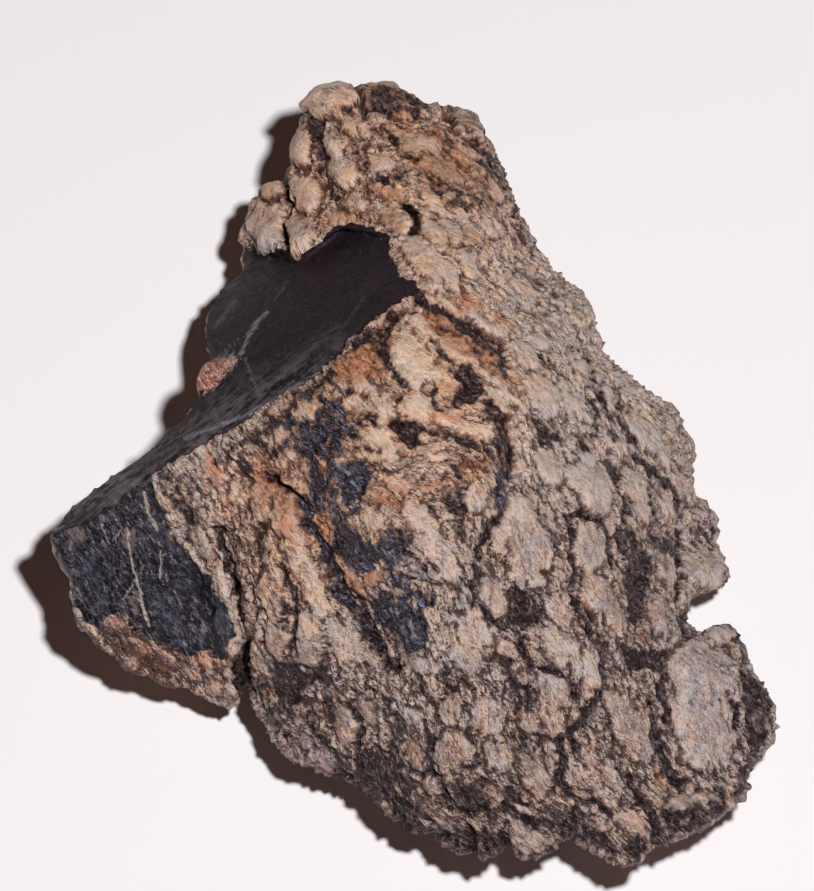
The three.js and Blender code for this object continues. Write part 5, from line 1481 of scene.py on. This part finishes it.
rock = mixed(times(char_fringe, 0.5), rock, mixed(warm_amount, FRINGE_GREY, FRINGE_BROWN))
rock = mixed(times(char_amount, 0.92), rock, char_colour)
# painted shade in the deeper cuts and the pit
rock = mixed(stained("deep_shade"), rock, DEEPEST_SHADE)

# thin pale scratches and veins, straight from point to point but for a small waver
RIDGE_TURNED = np.array([
    [math.cos(RIDGE_TURN), -math.sin(RIDGE_TURN)], [math.sin(RIDGE_TURN), math.cos(RIDGE_TURN)]
])
STROKE_END = 0.2


def drawn(strokes, waver, softness):
    """How strongly each place is covered by thin strokes of (half width, paleness, path)."""
    cover = 0.0
    for half_width, paleness, path in strokes:
        corners = np.array(path) @ RIDGE_TURNED
        for start, end in zip(corners[:-1], corners[1:]):
            length = np.linalg.norm(end - start)
            ahead = (end - start) / length
            place = vector_of("SUBTRACT", ridge_place, (*start, 0))
            run = vector_of("DOT_PRODUCT", place, (*ahead, 0))
            off = vector_of("DOT_PRODUCT", place, (-ahead[1], ahead[0], 0))
            off = sum_of("ABSOLUTE", plus(off, waver))
            beyond = sum_of("ABSOLUTE", sum_of("SUBTRACT", run, length / 2))
            along_it = times(between(length / 2 + STROKE_END, length / 2, beyond), paleness)
            across_it = between(half_width + softness, half_width * 0.5, off)
            cover = sum_of("MAXIMUM", cover, times(across_it, along_it))
    return cover


# the wing, with painted highlights, a painted blue sheen, painted shade along its ledge and steps, and
# painted dent shade
WING_DARK = (0.010, 0.008, 0.012)
WING_PALE = (0.042, 0.037, 0.052)
WING_HIGHLIGHT = (0.15, 0.13, 0.14)
SCUFF_BROWN = (0.20, 0.150, 0.118)
WING_SHEEN_BLUE = (0.095, 0.095, 0.140)
LEDGE_SHADE_BLACK = (0.010, 0.009, 0.012)
SCRATCH_PALE = (0.46, 0.38, 0.33)
torn_edge = swung(fibre, 1.1)
wing_colour = mixed(between(0.35, 0.65, grit), WING_DARK, WING_PALE)
wing_colour = mixed(times(between(0.55, 0.66, fibre), 0.8), wing_colour, WING_HIGHLIGHT)
wing_light = graded(pock_shade, 6.0, graded(chip_tone, 2.0, graded(patch, 1.0, 0.55)))
wing_colour = vector_of("SCALE", wing_colour, sum_of("MAXIMUM", wing_light, 0.1))
scuff_amount = covered("scuff", 0.35, 0.85, ragged, 2.6)
wing_colour = mixed(times(scuff_amount, 0.6), wing_colour, SCUFF_BROWN)
wing_sheen_amount = times(stained("wing_sheen"), between(0.35, 0.6, fibre))
wing_colour = mixed(wing_sheen_amount, wing_colour, WING_SHEEN_BLUE)
wing_colour = mixed(times(stained("step"), 0.8), wing_colour, LEDGE_SHADE_BLACK)
scratch_amount = times(drawn(WING_SCRATCHES, torn_edge, softness=0.1), 0.85)
wing_colour = mixed(scratch_amount, wing_colour, SCRATCH_PALE)
wing_amount = covered("wing", 0.35, 0.65, ragged, 0.9)
rock = mixed(wing_amount, rock, wing_colour)

# the break with a painted sheen toward its tip and painted dent shade, its veins and the nodule's pale
# collar
BREAK_DARK = (0.006, 0.002, 0.005)
BREAK_PALE = (0.026, 0.010, 0.019)
BREAK_TIP_SHEEN = (0.20, 0.172, 0.178)
BREAK_DUST = (0.16, 0.14, 0.15)
VEIN_PALE = (0.30, 0.27, 0.315)
COLLAR_GREY = (0.33, 0.28, 0.285)
hairs = specks(vector_of("DIVIDE", ridge_place, HAIR_SIZE), detail=2.0)
break_streaks = graded(hairs, 1.5, graded(blotches, 1.8, -1.65))
break_streaks = graded(stained("rays"), 0.8, plus(break_streaks, 0.1))
break_colour = mixed(between(0.2, 1.0, break_streaks), BREAK_DARK, BREAK_PALE)
break_light = sum_of("MAXIMUM", graded(pock_shade, 4.0, 1.0), 0.1)
break_colour = vector_of("SCALE", break_colour, break_light)
break_sheen_amount = times(stained("slab_sheen"), between(0.1, 1.0, break_streaks))
break_colour = mixed(break_sheen_amount, break_colour, BREAK_TIP_SHEEN)
break_colour = mixed(times(between(0.64, 0.74, dust), 0.35), break_colour, BREAK_DUST)
collar_amount = covered("collar", 0.25, 0.65, fibre, 1.6)
break_colour = mixed(times(collar_amount, 0.8), break_colour, COLLAR_GREY)
soft_edge = graded(blotches, 1.2, graded(dust, 0.35, -0.78))
vein_amount = times(drawn(BREAK_VEINS, soft_edge, softness=0.25), between(0.1, 0.7, hairs))
break_colour = mixed(vein_amount, break_colour, VEIN_PALE)
break_amount = covered("slab", 0.35, 0.65, grit, 0.5)
rock = mixed(break_amount, rock, break_colour)

# the nodule, in rust-red grains with pink flakes and painted dent shade
NODULE_DARK = (0.32, 0.115, 0.075)
NODULE_RED = (0.54, 0.235, 0.165)
NODULE_PINK = (0.68, 0.44, 0.37)
nodule_colour = mixed(between(0.42, 0.58, blotches), NODULE_DARK, NODULE_RED)
nodule_colour = mixed(between(0.46, 0.60, grit), nodule_colour, NODULE_PINK)
nodule_colour = vector_of("SCALE", nodule_colour, graded(pock_shade, 3.0, 0.95))
nodule_amount = covered("slab_rust", 0.35, 0.65, grit, 0.6)
rock = mixed(nodule_amount, rock, nodule_colour)

# painted glints, highlights in the scar's char, and pale fibres below it
HIGHLIGHT_AND_FIBRE_PALE = (0.32, 0.33, 0.38)
rock = mixed(times(drawn(GLINT_HIGHLIGHTS_AND_FIBRES, torn_edge, softness=0.1), 0.85), rock, HIGHLIGHT_AND_FIBRE_PALE)
feed(shine.inputs["Base Color"], rock)

# rock and break are dull, char and wing a little less so
ROCK_ROUGHNESS = 0.51
CHAR_SMOOTHER = -0.13
BREAK_ROUGHER = 0.27
WING_SMOOTHER = -0.08
roughness = graded(break_amount, BREAK_ROUGHER, graded(char_amount, CHAR_SMOOTHER, ROCK_ROUGHNESS))
feed(shine.inputs["Roughness"], graded(wing_amount, WING_SMOOTHER, roughness))
shine.inputs["Specular IOR Level"].default_value = 0.28

# fibres, grit, dust and tilted chips stand up a little, least on the break
BUMP_DEPTH = 0.52 * MM
relief = recipe.nodes.new("ShaderNodeBump")
relief.inputs["Strength"].default_value = 1.0
relief.inputs["Distance"].default_value = BUMP_DEPTH
bumps = graded(fibre, 0.35, graded(grit, 0.7, times(dust, 0.12)))
tilts = graded(plate_tilt, 1.3, times(chip_tilt, 1.1))
bumps = graded(tilts, open_face, bumps)
evenness = graded(break_amount, -0.85, graded(wing_amount, -0.3, 1.0))
bumps = times(bumps, times(sum_of("MAXIMUM", evenness, 0.15), liveliness))
feed(relief.inputs["Height"], bumps)
feed(shine.inputs["Normal"], relief.outputs["Normal"])

# the fine skin leaves a few loose specks far smaller than a grain, so only what joins the peak is kept
bpy.ops.object.mode_set(mode="EDIT")
bpy.ops.mesh.select_mode(type="VERT")
bpy.ops.mesh.select_all(action="DESELECT")
bpy.ops.object.mode_set(mode="OBJECT")
stone.data.vertices[int(np.argmax(carved[:, 2]))].select = True
bpy.ops.object.mode_set(mode="EDIT")
bpy.ops.mesh.select_linked()
bpy.ops.mesh.select_all(action="INVERT")
bpy.ops.mesh.delete(type="VERT")
bpy.ops.object.mode_set(mode="OBJECT")

stone.data.materials.clear()
stone.data.materials.append(paint)
bpy.ops.object.shade_smooth()
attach(stone, "root")
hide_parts("meteorite")


# ---- The floor ----
# A plain pale cloth lies flat under the stone. It is matt, a little pink, and spreads far past the
# stone on every side.

FLOOR_WIDTH = 3.0
CLOTH_COLOUR = (0.86, 0.828, 0.843, 1)
CLOTH_ROUGHNESS = 0.9

bpy.ops.object.select_all(action="DESELECT")
bpy.ops.mesh.primitive_plane_add(size=FLOOR_WIDTH, location=(0, 0, 0))
floor = bpy.context.active_object
floor.name = "floor"
cloth = bpy.data.materials.new("pale_floor")
cloth.use_nodes = True
weave = cloth.node_tree.nodes["Principled BSDF"]
weave.inputs["Base Color"].default_value = CLOTH_COLOUR
weave.inputs["Roughness"].default_value = CLOTH_ROUGHNESS
floor.data.materials.append(cloth)


# ---- The camera ----
# It looks straight down on the slanted face, from so far off and through so long a lens that nearly
# nothing tapers.

LENS = 1000
SENSOR_WIDTH = 36
VIEW_HEIGHT = 111.375 * MM
FURTHEST_SEEN = 50

target = Vector(ORIGIN * MM)
toward = Vector(OUT_FACE)
camera_data = bpy.data.cameras.new("camera")
camera_data.lens = LENS
camera_data.sensor_width = SENSOR_WIDTH
camera_data.clip_end = FURTHEST_SEEN
camera = bpy.data.objects.new("camera", camera_data)
bpy.context.scene.collection.objects.link(camera)
camera.location = target + toward * (LENS / SENSOR_WIDTH * VIEW_HEIGHT)
camera.rotation_euler = toward.to_track_quat("Z", "Y").to_euler()
bpy.context.scene.camera = camera


# ---- The light ----
# One small round lamp stands high up and a little to the right, so shadows are crisp and short.
# A faint warm glow fills them.

LAMP_FROM = Vector((0.14, -0.42, 1.0)).normalized()
LAMP_DISTANCE = 1.2
LAMP_AIM = Vector((0.15, 0.30, 0))
LAMP_SIZE = 0.055
LAMP_POWER = 17.0
GLOW_COLOUR = (1, 0.49, 0.36, 1)
GLOW_STRENGTH = 0.028

key_data = bpy.data.lights.new("key", "AREA")
key_data.shape = "DISK"
key_data.size = LAMP_SIZE
key_data.energy = LAMP_POWER
key = bpy.data.objects.new("key", key_data)
bpy.context.scene.collection.objects.link(key)
key.location = target + LAMP_FROM * LAMP_DISTANCE
key.rotation_euler = (key.location - (target + LAMP_AIM)).to_track_quat("Z", "Y").to_euler()

world = bpy.data.worlds.new("studio")
world.use_nodes = True
glow = world.node_tree.nodes["Background"]
glow.inputs["Color"].default_value = GLOW_COLOUR
glow.inputs["Strength"].default_value = GLOW_STRENGTH
bpy.context.scene.world = world
bpy.context.scene.view_settings.view_transform = "Standard"
